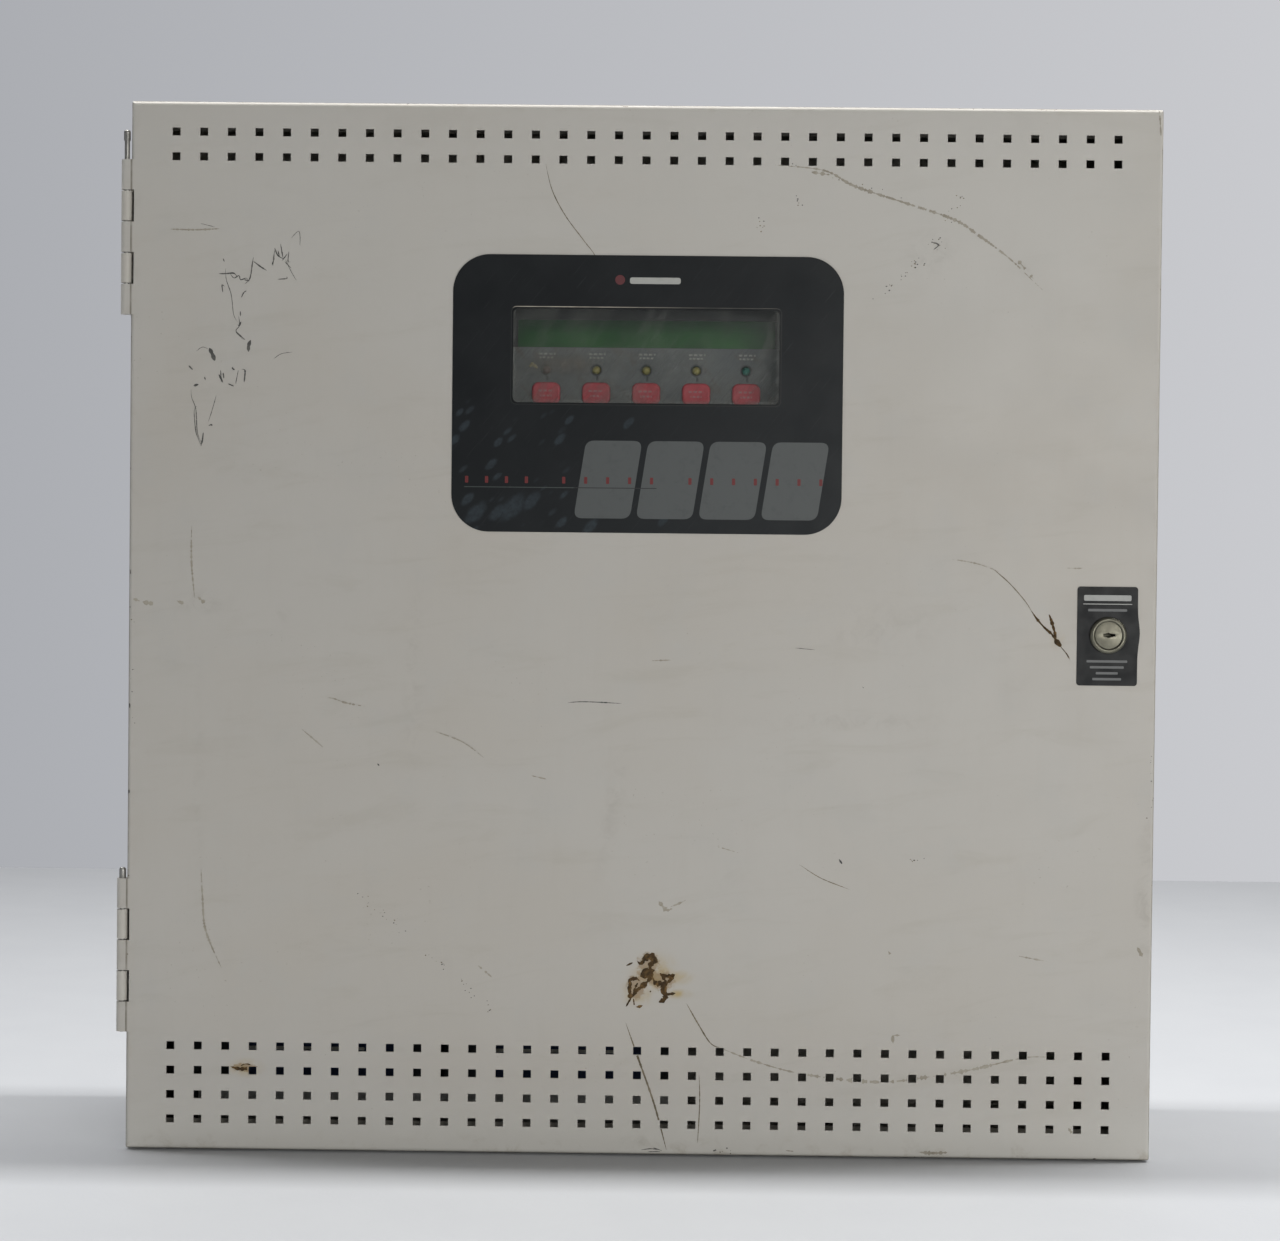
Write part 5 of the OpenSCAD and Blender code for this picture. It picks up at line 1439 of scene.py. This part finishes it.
def board_parts(resin, ink, tin, epoxy):
    """Small parts on the main board: resistors, transistors, discs, a crystal can and screw marks."""
    plated, mould, orange = 3, 4, 5
    piece = Piece()

    def straight_leg(x, z, length):
        piece.tube([(x, BOARD_Y + 0.5, z), (x, BOARD_Y - length, z)], 0.25, plated, 1)

    body = [(0, 0), (0.5, 0), (1.0, 0.35), (1.15, 1.0), (0.95, 1.6), (0.95, 4.6), (1.15, 5.2),
            (1.0, 5.85), (0.5, 6.2), (0, 6.2)]
    axis_y = BOARD_Y - 1.25
    for row_x, row_z, count in ((30, 52, 8), (30, 40, 8), (-44, 34, 7), (-44, 22, 7), (-68, 100, 8),
                                (78, 60, 5), (-120, 92, 7)):
        for k in range(count):
            x = row_x + k * 5.2
            piece.lathe((x, axis_y, row_z), body, axis="z", sides=14)
            hues = random.sample(range(4), 3)
            for hue, start, reach in zip(hues, (1.1, 2.3, 3.3), (1.19, 1.0, 1.0)):
                end = start + 0.5
                ring = [(0.9, start), (reach, start), (reach, end), (0.9, end), (0.9, start)]
                piece.lathe((x, axis_y, row_z), ring, axis="z", sides=14, skin=1 + hue % 2)
            for end, way in ((-1.6, 1), (7.8, -1)):
                z = row_z + end
                lead = [(x, BOARD_Y + 0.5, z), (x, BOARD_Y - 1.0, z), (x, axis_y, z + way * 0.4),
                        (x, axis_y, z + way * 1.8)]
                piece.tube(lead, 0.28, plated, 1)
    for k in range(6):
        x, z, radius = 30 + k * 9, 26, 2.3
        half = [(x + radius * math.cos(a), z + radius * math.sin(a))
                for a in (math.pi * n / 10 for n in range(11))]
        piece.outline([half], BOARD_Y - 7.5, BOARD_Y - 2.6, 0.2, mould)
        for side in (-1.27, 0, 1.27):
            straight_leg(x + side, z + 0.9, 2.7)
    for x, z in ((92, 44), (104, 44), (92, 30), (104, 30)):
        disc = [(0, -1.2), (2.2, -1.1), (3.1, -0.6), (3.4, 0), (3.1, 0.6), (2.2, 1.1), (0, 1.2)]
        piece.lathe((x, BOARD_Y - 5.0, z), disc, axis="z", sides=24, skin=orange)
        for side in (-1.6, 1.6):
            straight_leg(x + side, z, 2.4)
    can = (-22, 50)
    piece.plate(can, 11, 4.6, 2.2, BOARD_Y - 3.8, BOARD_Y - 0.1, 0.5, plated, 6)
    piece.plate(can, 12, 5.4, 2.6, BOARD_Y - 0.5, BOARD_Y + 0.1, 0.1, plated, 6)
    pitch = 7.5
    for low, high in solids("terminal_blocks"):
        for k in range(round((high.x - low.x) / pitch)):
            spot = (low.x + pitch * (k + 0.5), high.z + 4.4)
            piece.outline([circle_loop(spot, 1.0, 14), circle_loop(spot, 0.45, 10)],
                          BOARD_Y - 0.1, BOARD_Y + 0.1, 0, plated)
            piece.plate((spot[0], high.z + 8.4), 3.4, 0.5, 0.2, BOARD_Y - 0.03, BOARD_Y + 0.05, 0, 2, 1)
    piece.done("board_parts", "cabinet", resin, ink["brown"], ink["pale"], tin, epoxy, ink["orange"])


def battery_trim(case, ink):
    """Lid ledge, vent caps and a plain label of bars on each battery."""
    piece = Piece()
    for node in ("battery_left", "battery_right"):
        low, high = box_mm(node)
        x, z = centre_of(low, high)
        above = (x, (low.y + high.y) / 2)
        width, depth = high.x - low.x, high.y - low.y
        outer = rounded_loop(above, width + 0.6, depth + 0.6, 3.2, 4)
        inner = rounded_loop(above, width - 2, depth - 2, 2.4, 4)
        foot, top = high.z - 12, high.z - 10.8
        piece.loft([[(a, b, level) for a, b in loop] for level, loop in (
            (foot, outer), (top, outer), (top, inner), (foot, inner), (foot, outer))], closed_ends=False)
        for k in range(6):
            piece.lathe((x + (k - 2.5) * 17, low.y + 26, high.z - 0.2),
                        [(0, 0), (5.2, 0), (5.2, 0.6), (4.8, 0.9), (0, 0.9)], axis="z", sides=24)
        piece.plate((x, z + 7), 104, 46, 2, low.y - 0.15, low.y + 0.3, 0, 1)
        for k, (long, tall) in enumerate(((60, 4), (62, 2), (78, 2), (48, 2))):
            piece.plate((x - 46 + long / 2, z + 21 - k * 8.5), long, tall, 0.8, low.y - 0.2, low.y + 0.1,
                        0, 2, 2)
    piece.done("battery_trim", "cabinet", case, ink["blue"], ink["pale"], slot="battery_grey")


def cover_trim(cover, steel, dark):
    """Ribs and two slotted screws on the front of the mains cover."""
    low, high = box_mm("mains_cover")
    x, z = centre_of(low, high)
    width, height = high.x - low.x, high.z - low.z
    front, back = low.y - 0.7, low.y + 0.2
    piece = Piece()
    piece.outline([rounded_loop((x, z), width - 5, height - 5, 2.4),
                   rounded_loop((x, z), width - 8, height - 8, 1.6)], front, back, 0.2)
    for k in (-1, 0, 1):
        piece.plate((x, z + k * height / 6), width * 0.5, 1.6, 0.7, front, back, 0.2, steps=3)
    for side in (-1, 1):
        screw = x + side * width * 0.36
        piece.lathe((screw, low.y, z), [(0, -1.4), (1.9, -1.3), (2.5, -0.8), (2.6, 0.2), (0, 0.2)],
                    sides=20, skin=1)
        piece.plate((screw, z), 3.6, 0.7, 0.2, low.y - 1.46, low.y - 1.36, 0, 2, 1)
    piece.done("cover_trim", "cabinet", cover, steel, dark)


def paint_inside(steel):
    """Materials of the CAD nodes that keep their own shape, and the pieces that use them."""
    brass = metal("brass", (0.66, 0.5, 0.24), 0.28, 0.4)
    tin = metal("tin_plate", (0.72, 0.71, 0.67), 0.28, 0.35)
    aluminium = metal("sink_aluminium_cast", (0.62, 0.63, 0.64), 0.38, 0.3, (1, 12, 1))
    black = plastic("black_moulding", (0.014, 0.014, 0.015), 0.42)
    white = plastic("white_nylon_moulding", tone(226, 224, 214), 0.45)
    green_terminal = plastic("terminal_green_moulding", tone(40, 118, 76), 0.4)
    cover = plastic("cover_moulding", tone(206, 205, 198), 0.4)
    battery = plastic("battery_case", tone(50, 55, 57), 0.5, 0.9, 0.3)
    board = circuit_board("board_varnish", tone(26, 92, 52), tone(18, 74, 42))
    groups = (
        (steel, "display_bracket", "chassis_screws", "machine_screws", "ground_stud",
         "transformer_bracket", "battery_stop", "lock_cam", "cam_screw", "lock_nut", "hinge_rivets"),
        (tin, "fuse_clips", "battery_terminals"),
        (brass, "display_spacers", "board_standoffs", "terminal_screws"),
        (aluminium, "heat_sink"),
        (black, "key_switches", "ribbon_sockets", "mains_terminal", "lcd_frame"),
        (white, "led_spacers", "battery_sleeves"),
        (green_terminal, "terminal_blocks"),
        (cover, "mains_cover"),
        (battery, "battery_left", "battery_right"),
        (board, "main_board", "display_board"),
        (laminated_iron(), "transformer_core"),
        (paper_card(), "inside_label"),
    )
    for material, *nodes in groups:
        for node in nodes:
            paint(node, material)
    ink = {name: flat_ink("ink_" + name, colour) for name, colour in (
        ("pale", tone(206, 206, 198)), ("dark", tone(40, 41, 44)), ("brown", tone(112, 62, 36)),
        ("orange", tone(206, 128, 52)), ("blue", tone(34, 52, 88)))}
    relay_cases(plastic("relay_case", tone(52, 88, 150), 0.35), ink["pale"])
    chip_packages(plastic("chip_epoxy", (0.017, 0.017, 0.018), 0.5), tin, ink["pale"])
    capacitor_cans(plastic("can_sleeve", tone(30, 48, 96), 0.32), tin, ink)
    glass_fuses(plastic("fuse_tube", (0.8, 0.84, 0.82), 0.08, worn=0.05, Alpha=0.35), tin)
    sounder_shell(black)
    ribbed_cable(flat_cable())
    wound_coil(wound_tape(), plastic("coil_board", tone(196, 176, 132), 0.6))
    wires(plastic("red_insulation", tone(168, 38, 34), 0.38),
          plastic("black_insulation", (0.02, 0.02, 0.021), 0.38),
          plastic("yellow_insulation", tone(214, 178, 48), 0.38))
    board_parts(plastic("resistor_lacquer", tone(196, 166, 118), 0.4), ink, tin,
                plastic("transistor_epoxy", (0.018, 0.018, 0.019), 0.48))
    battery_trim(battery, ink)
    cover_trim(cover, steel, ink["dark"])


# ------------------------------------------------------------------ build

door_marks()
label_print()
window_rim()
nickel = metal("worn_nickel", (0.215, 0.208, 0.165), 0.38, 0.5)
steel = metal("zinc_plate", (0.60, 0.60, 0.57), 0.3, 0.45)
lock_label()
lock_head(nickel)
lock_core(nickel, steel)
key_caps()
lamps()
bright_plate_specks()
paint("door", door_paint())
paint("back_box", cabinet_paint())
paint("front_overlay", label_film())
paint("window_lens", lens_plastic())
paint("display_plate", plate_metal())
paint("lcd_glass", lcd_material())
pin_steel = metal("pin_steel_worn", (0.36, 0.355, 0.335), 0.34, 0.5)
paint("hinge_pin_upper", pin_steel)
paint("hinge_pin_lower", pin_steel)
paint("hinge_leaves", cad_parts["back_box"].data.materials[0])
paint_inside(steel)
